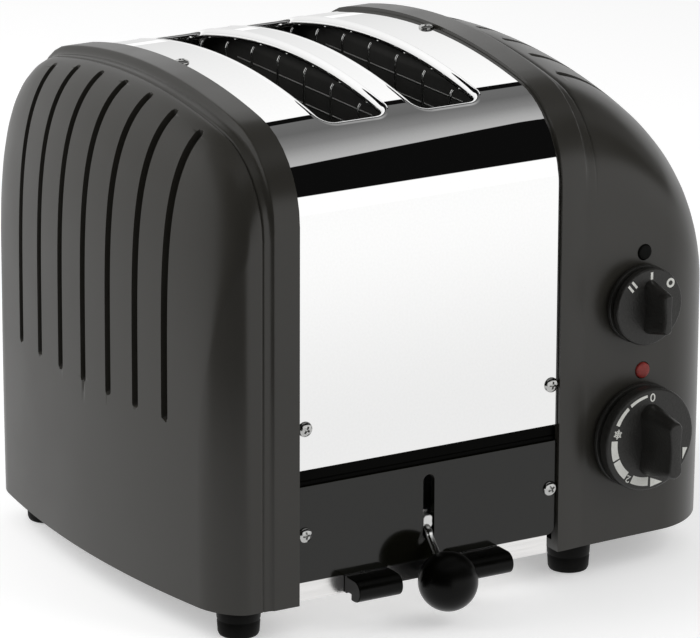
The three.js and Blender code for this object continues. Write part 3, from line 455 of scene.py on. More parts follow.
class Finish(Enum):
    """Every finish on the toaster, named like the record's slot unless it shares one."""

    CASING = Enamel("casing_enamel", (0.0215, 0.0202, 0.0168), (0.0245, 0.0230, 0.0194), 0.31, gloss=0.45)
    PANEL = Enamel("panel_enamel", (0.0040, 0.0040, 0.0026), (0.0052, 0.0052, 0.0036), 0.1, 0.01, 0.45)
    # Painted shade: this near-black finish stands for the shaded gap between the wrap's lower edge and the
    # panel.
    STRIP = Enamel("seal_strip", (0.0008, 0.0008, 0.0006), (0.0014, 0.0014, 0.0011), 0.3, gloss=0.03)
    POLISHED = Metal("polished_steel", (0.955, 0.955, 0.952), 0.006, wave=0.006, spread=0.003)
    TRAY = Metal("tray_steel", (0.9, 0.89, 0.88), 0.2, 0.35, (0.04, 1.0, 1.0))
    CHASSIS = Metal("chassis_steel", (0.4, 0.4, 0.39), 0.42, 0.3, (0.2, 1.0, 1.0))
    WIRE = Metal("bright_wire", (0.78, 0.78, 0.77), 0.16, 0.2, (1.0, 1.0, 0.1))
    TAB = Metal("lever_tab", (0.8, 0.8, 0.79), 0.4, 0.2, (1.0, 1.0, 0.2))
    SCREW = Metal("screw_steel", (0.52, 0.52, 0.51), 0.14, 0.15, (0.3, 0.3, 1.0))
    # The mica's colour is partly painted shade: it is darkened to stand for the shade inside the bread chamber.
    MICA = Board("mica", (0.014, 0.0138, 0.0128), (0.036, 0.0355, 0.0335))
    BLACK = Moulding("black_plastic", (0.0010, 0.0010, 0.0007), (0.0018, 0.0018, 0.0014), 0.3, 0.04, gloss=0.12)
    DIAL = Moulding("dial_plastic", (0.0095, 0.0092, 0.0080), (0.0185, 0.0178, 0.0160), 0.4, 0.7, 1100.0,
                    0.0002, 0.4)
    MARK = Moulding("dial_mark", (0.62, 0.62, 0.58), (0.72, 0.72, 0.68), 0.5, 0.05)
    RUBBER = Moulding("foot_rubber", (0.0012, 0.0012, 0.0009), (0.0024, 0.0024, 0.002), 0.6, 0.3, 700.0,
                      gloss=0.1)
    GLAND = Moulding("gland_rubber", (0.005, 0.005, 0.004), (0.009, 0.009, 0.008), 0.5, pitch=800.0)
    CERAMIC = Moulding("switch_ceramic", (0.55, 0.52, 0.45), (0.62, 0.6, 0.53), 0.5, pitch=600.0)
    LENS = Lens("lamp_red", (0.22, 0.018, 0.013))
    BUTTON = Moulding("button_black", (0.0022, 0.0022, 0.0018), (0.004, 0.004, 0.0034), 0.7, 0.05, gloss=0.12)

    def material(self) -> bpy.types.Material:
        """The material of this finish, made once."""
        return bpy.data.materials.get(self.value.name + LOOK) or self.value.build()

    def dress(self, piece: bpy.types.Object) -> None:
        """Gives a piece this finish.

        Args:
            piece: The object to dress.
        """
        piece.data.materials.clear()
        piece.data.materials.append(self.material())


# ---------------------------------------------------------------- meshes


class Shell:
    """A mesh in the making, in toaster millimetres."""

    def __init__(self) -> None:
        """Starts with no corners and no faces."""
        self.corners: list[np.ndarray] = []
        self.faces: list[tuple[int, ...]] = []
        self.count = 0

    def add(self, points: np.ndarray) -> int:
        """Adds corners.

        Args:
            points: Corners, one row each.

        Returns:
            The index of the first of them.
        """
        points = np.asarray(points, float).reshape(-1, 3)
        self.corners.append(points)
        self.count += len(points)
        return self.count - len(points)

    def grid(self, points: np.ndarray, loop_rows: bool = False, loop_columns: bool = False) -> None:
        """Adds a net of four-sided faces.

        Args:
            points: Corners as rows, columns and three numbers.
            loop_rows: Whether the last row joins the first.
            loop_columns: Whether the last column joins the first.
        """
        rows, columns = points.shape[:2]
        net = self.add(points) + np.arange(rows * columns).reshape(rows, columns)
        net = np.vstack([net, net[:1]]) if loop_rows else net
        net = np.hstack([net, net[:, :1]]) if loop_columns else net
        quads = np.stack([net[:-1, :-1], net[:-1, 1:], net[1:, 1:], net[1:, :-1]], axis=-1)
        self.faces.extend(map(tuple, quads.reshape(-1, 4).tolist()))

    def polygon(self, points: np.ndarray) -> None:
        """Adds one flat face through the given corners."""
        start = self.add(points)
        self.faces.append(tuple(range(start, self.count)))

    def strip(self, first: np.ndarray, second: np.ndarray, loop: bool = False) -> None:
        """Adds faces between two lines of as many corners."""
        self.grid(np.stack([first, second]), loop_columns=loop)

    def mesh(self, name: str, place: Matrix | None = None, weld: float = 1e-6) -> bpy.types.Mesh:
        """Makes the Blender mesh, with its seams welded and its faces turned outward.

        Args:
            name: The mesh's name.
            place: A turn in toaster millimetres that comes first.
            weld: How near corners are joined, in metres.

        Returns:
            The mesh, in row metres.
        """
        matrix = np.array(TO_ROW @ (place or Matrix.Identity(4)))
        points = np.vstack(self.corners) @ matrix[:3, :3].T + matrix[:3, 3]
        mesh = bpy.data.meshes.new(name)
        mesh.from_pydata(points.tolist(), [], self.faces)
        work = bmesh.new()
        work.from_mesh(mesh)
        bmesh.ops.remove_doubles(work, verts=work.verts, dist=weld)
        bmesh.ops.dissolve_degenerate(work, dist=weld, edges=work.edges)
        bmesh.ops.recalc_face_normals(work, faces=work.faces)
        work.to_mesh(mesh)
        work.free()
        return mesh


def linked(name: str, data: bpy.types.ID) -> bpy.types.Object:
    """Makes an object and puts it in the scene.

    Args:
        name: The object's name.
        data: Its mesh, curve, camera or light.

    Returns:
        The object.
    """
    made = bpy.data.objects.new(name, data)
    bpy.context.scene.collection.objects.link(made)
    return made


@dataclass
class Piece:
    """A built piece on its way into the scene."""

    name: str
    mesh: bpy.types.Mesh
    finish: Finish
    body: Body = Body.SHELL
    replaces: tuple[str, ...] = ()
    crease: float = 35.0
    bevel: float = 0.0
    bevel_limit: float = 40.0

    def place(self) -> bpy.types.Object:
        """Shades, bevels, dresses and mounts the piece.

        Returns:
            The object.
        """
        piece = linked(self.name, self.mesh)
        self.mesh.shade_smooth()
        if self.crease > 0.0:
            self.mesh.set_sharp_from_angle(angle=math.radians(self.crease))
        if self.bevel > 0.0:
            round_edges(piece, self.bevel, self.bevel_limit)
        self.finish.dress(piece)
        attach(piece, self.body.value)
        if self.replaces:
            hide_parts(*self.replaces)
        LOG.info("%s: %d faces", self.name, len(self.mesh.polygons))
        return piece


def round_edges(piece: bpy.types.Object, width: float, limit: float = 40.0, segments: int = 2) -> None:
    """Rounds a piece's sharp edges with a modifier.

    Args:
        piece: The object.
        width: Width of the rounding in millimetres.
        limit: Least angle in degrees that counts as an edge.
        segments: Faces across the rounding.
    """
    bevel = piece.modifiers.new("edge", "BEVEL")
    bevel.width = width * MM
    bevel.segments = segments
    bevel.limit_method = "ANGLE"
    bevel.angle_limit = math.radians(limit)


def settled(piece: bpy.types.Object) -> bpy.types.Mesh:
    """The mesh of an object with its modifiers carried out."""
    graph = bpy.context.evaluated_depsgraph_get()
    return bpy.data.meshes.new_from_object(piece.evaluated_get(graph))


def carved(mesh: bpy.types.Mesh, cutters: list[bpy.types.Mesh]) -> bpy.types.Mesh:
    """Cuts closed meshes out of another.

    Args:
        mesh: What is cut.
        cutters: What it is cut with.

    Returns:
        The cut mesh.
    """
    work = linked("work", mesh)
    tools = [linked("cutter", cutter) for cutter in cutters]
    for tool in tools:
        cut = work.modifiers.new("cut", "BOOLEAN")
        cut.operation = "DIFFERENCE"
        cut.solver = "EXACT"
        cut.object = tool
    result = settled(work)
    for used in [work, *tools]:
        bpy.data.objects.remove(used)
    return result


def turned(profile: list[Pair], sides: int) -> np.ndarray:
    """Corners of a body of revolution about Z.

    Args:
        profile: Radius and height of each ring, from one end of the axis to the other.
        sides: Corners round each ring.

    Returns:
        Rings by sides by three numbers.
    """
    angles = np.linspace(0.0, 2 * math.pi, sides, endpoint=False)
    rings = [[(r * math.cos(a), r * math.sin(a), h) for a in angles] for r, h in profile]
    return np.array(rings)


def lathe(profile: list[Pair], sides: int, name: str, place: Matrix) -> bpy.types.Mesh:
    """A closed body of revolution.

    Args:
        profile: Radius and height from one end to the other.
        sides: Corners round each ring.
        name: The mesh's name.
        place: Where its own Z axis lies in the toaster.

    Returns:
        The mesh.
    """
    shell = Shell()
    shell.grid(turned(profile, sides), loop_columns=True)
    for radius, height in (profile[0], profile[-1]):
        if radius > 1e-6:
            shell.polygon(turned([(radius, height)], sides)[0])
    return shell.mesh(name, place)


def arc(radius: float, start: float, end: float, steps: int, centre: Pair = (0.0, 0.0)) -> list[Pair]:
    """Points of an arc.

    Args:
        radius: Its radius.
        start: First angle in degrees.
        end: Last angle in degrees.
        steps: Number of steps.
        centre: Its centre.

    Returns:
        Pairs of numbers.
    """
    angles = np.radians(np.linspace(start, end, steps + 1))
    return [(centre[0] + radius * math.cos(a), centre[1] + radius * math.sin(a)) for a in angles]


def rounded_box(x0: float, x1: float, y0: float, y1: float, radius: float, steps: int = 8) -> list[Pair]:
    """Outline of a rectangle with round corners.

    Args:
        x0: Its left side.
        x1: Its right side.
        y0: Its foot.
        y1: Its top.
        radius: Radius of its corners.
        steps: Steps round each corner.

    Returns:
        Pairs of numbers, anticlockwise.
    """
    points = []
    for cx, cy, start in ((x1 - radius, y1 - radius, 0), (x0 + radius, y1 - radius, 90),
                          (x0 + radius, y0 + radius, 180), (x1 - radius, y0 + radius, 270)):
        points += arc(radius, start, start + 90, steps, (cx, cy))
    return points


def prism(outline: list[Pair], depth: float, name: str, place: Matrix) -> bpy.types.Mesh:
    """A flat outline given a thickness along its own +Z.

    Args:
        outline: Pairs of numbers.
        depth: The thickness.
        name: The mesh's name.
        place: Where the outline's plane lies in the toaster.

    Returns:
        The mesh.
    """
    flat = np.array([(a, b, 0.0) for a, b in outline])
    raised = flat + (0.0, 0.0, depth)
    shell = Shell()
    shell.strip(flat, raised, loop=True)
    shell.polygon(flat)
    shell.polygon(raised)
    return shell.mesh(name, place)


def tube(lines: list, radius: float, name: str, roundness: int = 4) -> bpy.types.Mesh:
    """Round wires along lines of points.

    Args:
        lines: Points of each wire.
        radius: The wires' radius.
        name: The mesh's name.
        roundness: How many steps a quarter of their round takes, less one.

    Returns:
        The mesh.
    """
    curve = bpy.data.curves.new(name, "CURVE")
    curve.dimensions = "3D"
    curve.bevel_depth = radius * MM
    curve.bevel_resolution = roundness
    curve.use_fill_caps = True
    for line in lines:
        spline = curve.splines.new("POLY")
        spline.points.add(len(line) - 1)
        for point, spot in zip(spline.points, line):
            point.co = (*(TO_ROW @ Vector(spot)), 1.0)
    work = linked(name, curve)
    mesh = settled(work)
    bpy.data.objects.remove(work)
    return mesh


def facing(origin: Point, across: Point, up: Point) -> Matrix:
    """A frame whose X is across, Y is up and Z comes out of their plane.

    Args:
        origin: Its origin.
        across: Its X axis.
        up: Its Y axis.

    Returns:
        The matrix.
    """
    x, y = Vector(across).normalized(), Vector(up).normalized()
    z = x.cross(y)
    turn = Matrix((x, y, z)).transposed().to_4x4()
    return Matrix.Translation(origin) @ turn


def along(origin: Point, axis: Point) -> Matrix:
    """A frame at a point whose Z runs along an axis."""
    return Matrix.Translation(origin) @ Vector(axis).to_track_quat("Z", "Y").to_matrix().to_4x4()


def before(start: float, end: float, steps: int) -> np.ndarray:
    """Even steps from a start up to an end, without the end itself."""
    return np.linspace(start, end, steps + 1)[:-1]


def spread(length: float, spacing: Callable[[np.ndarray], np.ndarray], samples: int = 4000) -> np.ndarray:
    """Stations along a length whose spacing changes from place to place.

    Args:
        length: The whole length.
        spacing: A function from places to the spacing wanted there.
        samples: How finely it is worked out.

    Returns:
        The stations, from 0 to the length.
    """
    at = np.linspace(0.0, length, samples)
    run = np.concatenate([[0.0], np.cumsum(np.diff(at) / spacing(at[:-1]))])
    count = max(int(round(run[-1])), 2)
    return np.interp(np.linspace(0.0, run[-1], count + 1), run, at)


@dataclass(frozen=True)
class Arch:
    """The side view that the wrap and both casings share: upright sides, round shoulders, low crown."""

    half_depth: float
    top: float
    shoulder: float = 39.0
    crown: float = 322.2

    def drawn_in(self, inset: float) -> "Arch":
        """The same outline drawn in by an inset."""
        return Arch(self.half_depth - inset, self.top - inset, self.shoulder - inset, self.crown - inset)

    @property
    def across(self) -> float:
        """How far the shoulder's centre stands from the middle."""
        return self.half_depth - self.shoulder

    @property
    def crown_height(self) -> float:
        """Height of the crown's centre."""
        return self.top - self.crown

    @property
    def shoulder_height(self) -> float:
        """Height of the shoulder's centre."""
        return self.crown_height + math.sqrt((self.crown - self.shoulder) ** 2 - self.across ** 2)

    @property
    def meeting(self) -> float:
        """How far from the middle the crown meets the shoulder."""
        return self.crown * math.sin(math.atan2(self.across, self.shoulder_height - self.crown_height))

    def height(self, y: np.ndarray) -> np.ndarray:
        """Height of the top at places across the depth.

        Args:
            y: The places.

        Returns:
            Their heights.
        """
        reach = np.abs(y)
        crown = self.crown_height + np.sqrt(np.maximum(self.crown ** 2 - reach ** 2, 0.0))
        side = self.shoulder_height + np.sqrt(np.maximum(self.shoulder ** 2 - (reach - self.across) ** 2, 0.0))
        return np.where(reach < self.meeting, crown, side)

    def normal(self, y: float, z: float) -> Vector:
        """The outward direction of the surface at a place on it.

        Args:
            y: The place across the depth.
            z: Its height.

        Returns:
            The direction.
        """
        if z < self.shoulder_height:
            return Vector((0.0, math.copysign(1.0, y), 0.0))
        reach = abs(y)
        if reach < self.meeting:
            return Vector((0.0, y, z - self.crown_height)).normalized()
        return Vector((0.0, math.copysign(reach - self.across, y), z - self.shoulder_height)).normalized()


# ---------------------------------------------------------------- end casings


@dataclass
class EndCasing:
    """A cast end: a raised band beside the wrap, then a grooved dome that falls to the end face.

    The reach is how far the end face stands out, and the dome's curve is the two powers of its
    superellipse. The plan radius, sweep, bow and draft are the end's rounding and slopes in plan and down
    its face. A soft front has no crisp ledge beside the band, only an easy slope.
    """

    name: str
    side: int
    reach: float
    dome_drop: float
    dome_curve: Pair
    plan_radius: float
    sweep: float
    end_bow: float
    end_draft: float
    inner: float = 62.0
    band_half_depth: float = 102.1
    band_top: float = 219.9
    dome_start: float = 76.0
    top_step: float = 3.6
    front_step: float = 0.9
    bottom: float = 14.4
    wall: float = 4.0
    inner_spread: float = 0.88
    bulge_height: float = 92.0
    groove_pitch: float = 20.69
    groove_count: int = 7
    groove_half: float = 2.1
    groove_depth: float = 2.9
    groove_head: float = 84.0
    groove_foot: float = 88.9
    groove_edge: tuple[float, ...] = (-0.06, 0.03, 0.12, 0.24, 0.42, 1.0)
    groove_flank: float = 0.42
    groove_power: float = 1.3
    seam: float = 79.6
    seam_depth: float = 0.8
    seam_half: float = 0.5
    seam_reach: float = 0.8
    seam_front: float = 0.5
    shoulder: float = 39.0
    soft_front: bool = False
    soft_start: float = 65.0
    rim_inner: float = 50.0
    rim_inset: float = 1.1
    rim_thickness: float = 2.2
    rim_foot: float = 74.4
    rim_round: float = 34.0
    rim_crown: float = 40.0
    bores: tuple[Bore, ...] = field(default_factory=tuple)

    def end_face(self, y: np.ndarray, z: np.ndarray, inset: float) -> np.ndarray:
        """How far out the end face stands at places on it."""
        low = np.maximum(self.bulge_height - z, 0.0) / (self.bulge_height - self.bottom)
        return self.reach - inset - self.end_bow * (y / self.band_half_depth) ** 2 - self.end_draft * low ** 2

    def falls(self, share: float) -> Pair:
        """How far the dome's top and front have drawn in at a share of the way out.

        Args:
            share: 0 at the band, 1 at the end face.

        Returns:
            The fall of the top and of the front.
        """
        height_power, reach_power = self.dome_curve
        top = self.dome_drop * (1 - max(1 - share ** reach_power, 0.0) ** (1 / height_power))
        out = self.dome_start + (self.reach - self.dome_start) * share
        past = max(out - (self.reach - self.plan_radius), 0.0)
        corner = self.plan_radius - math.sqrt(max(self.plan_radius ** 2 - past ** 2, 0.0))
        seam = self.seam_depth * math.exp(-((out - self.seam) / self.seam_half) ** 2)
        front = self.front_step + corner + (out - self.dome_start) * math.tan(self.sweep)
        return self.top_step + top + seam, front + seam * (0.0 if self.soft_front else self.seam_front)

    def columns(self) -> np.ndarray:
        """Fixed places across the depth that follow the grooves' edges.

        Returns:
            The places, front to rear.
        """
        places: list[float] = []
        for i in range(self.groove_count):
            centre = (i - (self.groove_count - 1) / 2) * self.groove_pitch
            offsets = [self.groove_half - e for e in self.groove_edge]
            places += [centre - o for o in offsets] + [centre] + [centre + o for o in reversed(offsets)]
            if i < self.groove_count - 1:
                gap = self.groove_pitch - 2 * (self.groove_half - self.groove_edge[0])
                start = centre + self.groove_half - self.groove_edge[0]
                places += [start + gap * k / 6 for k in range(1, 6)]
        return np.array(places)

    def levels(self, fine: Pair, run: float) -> np.ndarray:
        """Shares of the way down the sides, closest together where the grooves end.

        Args:
            fine: The shares between which they are close.
            run: The height that the shares stand for.

        Returns:
            The shares, from 0 at the shoulder to 1 at the foot.
        """
        low, high = fine
        stations = spread(run, lambda s: np.where((s > low * run) & (s < high * run), 0.8, 5.0))
        return stations / run

    def shares(self) -> np.ndarray:
        """Shares of the way out, closest together at the seam and at the grooves' heads and feet.

        Returns:
            The shares, from 0 at the band to 1 at the end face.
        """
        fine = 1 - (1 - np.linspace(0.0, 1.0, 6000)) ** 2.4
        x = self.dome_start + (self.reach - self.dome_start) * fine
        z = np.array([self.band_top - self.falls(s)[0] for s in fine])
        length = np.concatenate([[0.0], np.cumsum(np.hypot(np.diff(x), np.diff(z)))])
        foot = self.groove_foot + self.groove_half

        def spacing(at: np.ndarray) -> np.ndarray:
            """The spacing wanted along the dome.

            Args:
                at: Places along its profile.

            Returns:
                The spacing at each.
            """
            # The bare numbers are millimetres round each feature, and then between rings there.
            px, pz = np.interp(at, length, x), np.interp(at, length, z)
            head = np.abs(px - self.groove_head - 1.2) < 3.0
            end = (pz > foot - 5.0) & (pz < foot + 16.0)
            seam = np.abs(px - self.seam) < self.seam_reach
            return np.where(seam, 0.13, np.where(head, 0.4, np.where(end, 0.6, 2.0)))

        return np.interp(spread(length[-1], spacing), length, fine)

    def ring(self, arch: Arch, fixed: np.ndarray, levels: np.ndarray, bottom: float) -> np.ndarray:
        """Places round one cross-section, from the front foot over the top to the rear foot.

        Args:
            arch: The section's outline.
            fixed: Fixed places across the top.
            levels: Shares of the way down the sides.
            bottom: Height of the foot.

        Returns:
            Pairs of y and z.
        """
        side = [(arch.half_depth, arch.shoulder_height * (1 - w) + bottom * w) for w in levels[::-1]]
        edge = math.asin(min(max((fixed[-1] - arch.across) / arch.shoulder, -1.0), 1.0))
        for k in range(1, 9):
            angle = math.pi / 2 + (edge - math.pi / 2) * k / 9
            side.append((arch.across + arch.shoulder * math.sin(angle),
                         arch.shoulder_height + arch.shoulder * math.cos(angle)))
        front = [(-y, z) for y, z in side]
        top = list(zip(fixed, arch.height(fixed)))
        return np.array(front + top + side[::-1])

    def skin(self, inset: float, bottom: float, shares: np.ndarray, levels: np.ndarray, fixed: np.ndarray,
             band: list[tuple[float, float, float]]) -> tuple[np.ndarray, np.ndarray]:
        """The net of one skin of the casing.

        Args:
            inset: How far it is drawn in.
            bottom: Height of its foot.
            shares: Shares of the way out.
            levels: Shares of the way down the sides.
            fixed: Fixed places across the top.
            band: Where it starts: the way out, fall of the top and fall of the front of each ring.

        Returns:
            The net over the dome, and the net down the end face.
        """
        shoulder = self.shoulder - inset
        rows = []
        for x, top, front in band:
            arch = Arch(self.band_half_depth - front - inset, self.band_top - top - inset, shoulder)
            ring = self.ring(arch, fixed, levels, bottom)
            rows.append(np.column_stack([np.full(len(ring), x), ring]))
        for share in shares:
            top, front = self.falls(share)
            arch = Arch(self.band_half_depth - front - inset, self.band_top - top - inset, shoulder)
            ring = self.ring(arch, fixed, levels, bottom)
            out = self.dome_start + (self.end_face(ring[:, 0], ring[:, 1], inset) - self.dome_start) * share
            rows.append(np.column_stack([out, ring]))
        dome = np.array(rows)
        sides = len(levels)
        rim = dome[-1, sides - 1:len(dome[-1]) - sides + 1]
        face = []
        for w in levels:
            z = rim[:, 2] * (1 - w) + bottom * w
            face.append(np.column_stack([self.end_face(rim[:, 1], z, inset), rim[:, 1], z]))
        return dome, np.array(face)

    def grooved(self, net: np.ndarray) -> np.ndarray:
        """Sinks the grooves into a net.

        Args:
            net: Its corners.

        Returns:
            The corners, moved inward where a groove runs.
        """
        along_rows = np.gradient(net, axis=0)
        along_columns = np.gradient(net, axis=1)
        normal = np.cross(along_rows, along_columns)
        normal /= np.maximum(np.linalg.norm(normal, axis=2, keepdims=True), 1e-9)
        core = (self.inner, 0.0, 60.0)
        inward = np.where(np.sum(normal * (net - core), axis=2, keepdims=True) > 0, -1.0, 1.0)
        x, y, z = net[..., 0], net[..., 1], net[..., 2]
        last = (self.groove_count - 1) / 2
        nearest = np.clip(np.round(y / self.groove_pitch), -last, last)
        across = y - nearest * self.groove_pitch
        head = np.maximum(self.groove_head + self.groove_half - x, 0.0)
        foot = np.maximum(self.groove_foot + self.groove_half - z, 0.0)
        inside = self.groove_half - np.sqrt(across ** 2 + head ** 2 + foot ** 2)
        start = self.groove_edge[0]
        share = np.clip((inside - start) / (self.groove_flank - start), 0.0, 1.0)
        depth = self.groove_depth * np.sin(share * math.pi / 2) ** self.groove_power
        return net + normal * inward * depth[..., None]

    def band(self) -> list[tuple[float, float, float]]:
        """Rings of the raised band, its crisp outer edge and the cove that runs into the dome's ledge.

        Returns:
            The way out, the fall of the top and the fall of the front of each ring.
        """
        rings = [(self.inner + out, 0.0, 0.0) for out in (0, 3, 7, 10.4)]
        for out, down in ((11.2, 0.02), (11.5, 0.08), (11.75, 0.25), (11.9, 0.5), (12.05, 0.9), (12.2, 1.4),
                          (12.4, 1.95), (12.65, 2.45), (12.95, 2.9), (13.3, 3.25), (13.65, 3.5)):
            share = down / self.top_step
            rings.append((self.inner + out, down, self.front_step * share))
        if self.soft_front:
            run = self.dome_start - self.soft_start
            eased = [(x, top, min(max((x - self.soft_start) / run, 0.0), 1.0)) for x, top, _ in rings]
            rings = [(x, top, self.front_step * t * t * (3 - 2 * t)) for x, top, t in eased]
        return rings

    def mesh(self) -> bpy.types.Mesh:
        """The casing as one closed shell.

        Returns:
            Its mesh.
        """
        _, end_fall = self.falls(1.0)
        most = self.band_half_depth - end_fall - 0.03
        fixed = np.clip(self.columns(), -most, most)
        face_top = self.band_top - self.top_step - self.dome_drop
        run = face_top - self.bottom
        # The levels stand close together round the grooves' feet, as shares of the run.
        near = (face_top - self.groove_foot - 6.0) / run
        levels = self.levels((max(near - 0.17, 0.0), max(near + 0.07, 0.06)), run)
        band = self.band()
        dome, face = self.skin(0.0, self.bottom, self.shares(), levels, fixed, band)
        dome = np.concatenate([dome[:len(band)], self.grooved(dome[len(band):])])
        face[1:] = self.grooved(face)[1:]
        face[0] = dome[-1, len(levels) - 1:dome.shape[1] - len(levels) + 1]
        shares = 1 - (1 - np.linspace(0.0, 1.0, 14)) ** 2.1
        ledge = [(self.inner, self.top_step, self.front_step)]
        inner_dome, inner_face = self.skin(self.wall, self.bottom + self.wall, shares, levels,
                                           fixed * self.inner_spread, ledge)
        turn = (self.side, 1, 1)
        shell = Shell()
        for net in (dome, face, inner_dome, inner_face):
            shell.grid(net * turn)
        shell.strip(dome[0] * turn, inner_dome[0] * turn, loop=True)
        for outer_net, outer_face in ((dome, face), (inner_dome, inner_face)):
            loop = np.concatenate([outer_net[:, 0], outer_face[-1][1:-1], outer_net[::-1, -1]])
            shell.polygon(loop * turn)
        mesh = shell.mesh(self.name)
        if not self.bores:
            return mesh
        return carved(mesh, [rod(start, end, radius, "bore", 40) for start, end, radius in self.bores])

    def rim(self) -> bpy.types.Mesh:
        """The rim under the wrap's edge that its screws bite into.

        Returns:
            Its mesh.
        """
        wrap = SteelWrap().arch
        turns = (1 - np.cos(np.linspace(0, math.pi / 2, 16))) * self.rim_round
        lines = []
        for inset in (self.rim_inset, self.rim_inset + self.rim_thickness):
            arch = wrap.drawn_in(inset)
            ys = np.concatenate([arch.half_depth - turns, np.linspace(arch.half_depth - self.rim_crown, 0, 12)])
            ys = np.concatenate([[arch.half_depth], ys, -ys[-2::-1], [-arch.half_depth]])
            zs = arch.height(ys)
            zs[0] = zs[-1] = self.rim_foot
            lines.append(np.column_stack([ys, zs]))
        rings = [(self.rim_inner, lines[0]), (self.rim_inner, lines[1]), (self.inner + 1.0, lines[1]),
                 (self.inner + 1.0, lines[0])]
        net = np.array([np.column_stack([np.full(len(line), x * self.side), line]) for x, line in rings])
        shell = Shell()
        shell.grid(net, loop_rows=True)
        shell.polygon(net[:, 0])
        shell.polygon(net[:, -1])
        return shell.mesh(self.name + "_rim")

    def build(self) -> None:
        """Places the casing and its rim."""
        Piece(self.name + "_cast", self.mesh(), Finish.CASING, replaces=(self.name,), crease=50.0, bevel=0.5,
              bevel_limit=62.0).place()
        Piece(self.name + "_rim", self.rim(), Finish.CASING).place()


def rod(start: Point, end: Point, radius: float, name: str, sides: int = 32) -> bpy.types.Mesh:
    """A round bar between two points, with softened ends.

    Args:
        start: The middle of its first end.
        end: The middle of its last end.
        radius: Its radius.
        name: The mesh's name.
        sides: Corners round it.

    Returns:
        The mesh.
    """
    axis = Vector(end) - Vector(start)
    length = axis.length
    soft = min(radius * 0.15, length * 0.1)
    profile = [(0.0, 0.0), (radius - soft, 0.0), (radius, soft), (radius, length - soft),
               (radius - soft, length), (0.0, length)]
    return lathe(profile, sides, name, along(start, tuple(axis)))


# ---------------------------------------------------------------- steel wrap


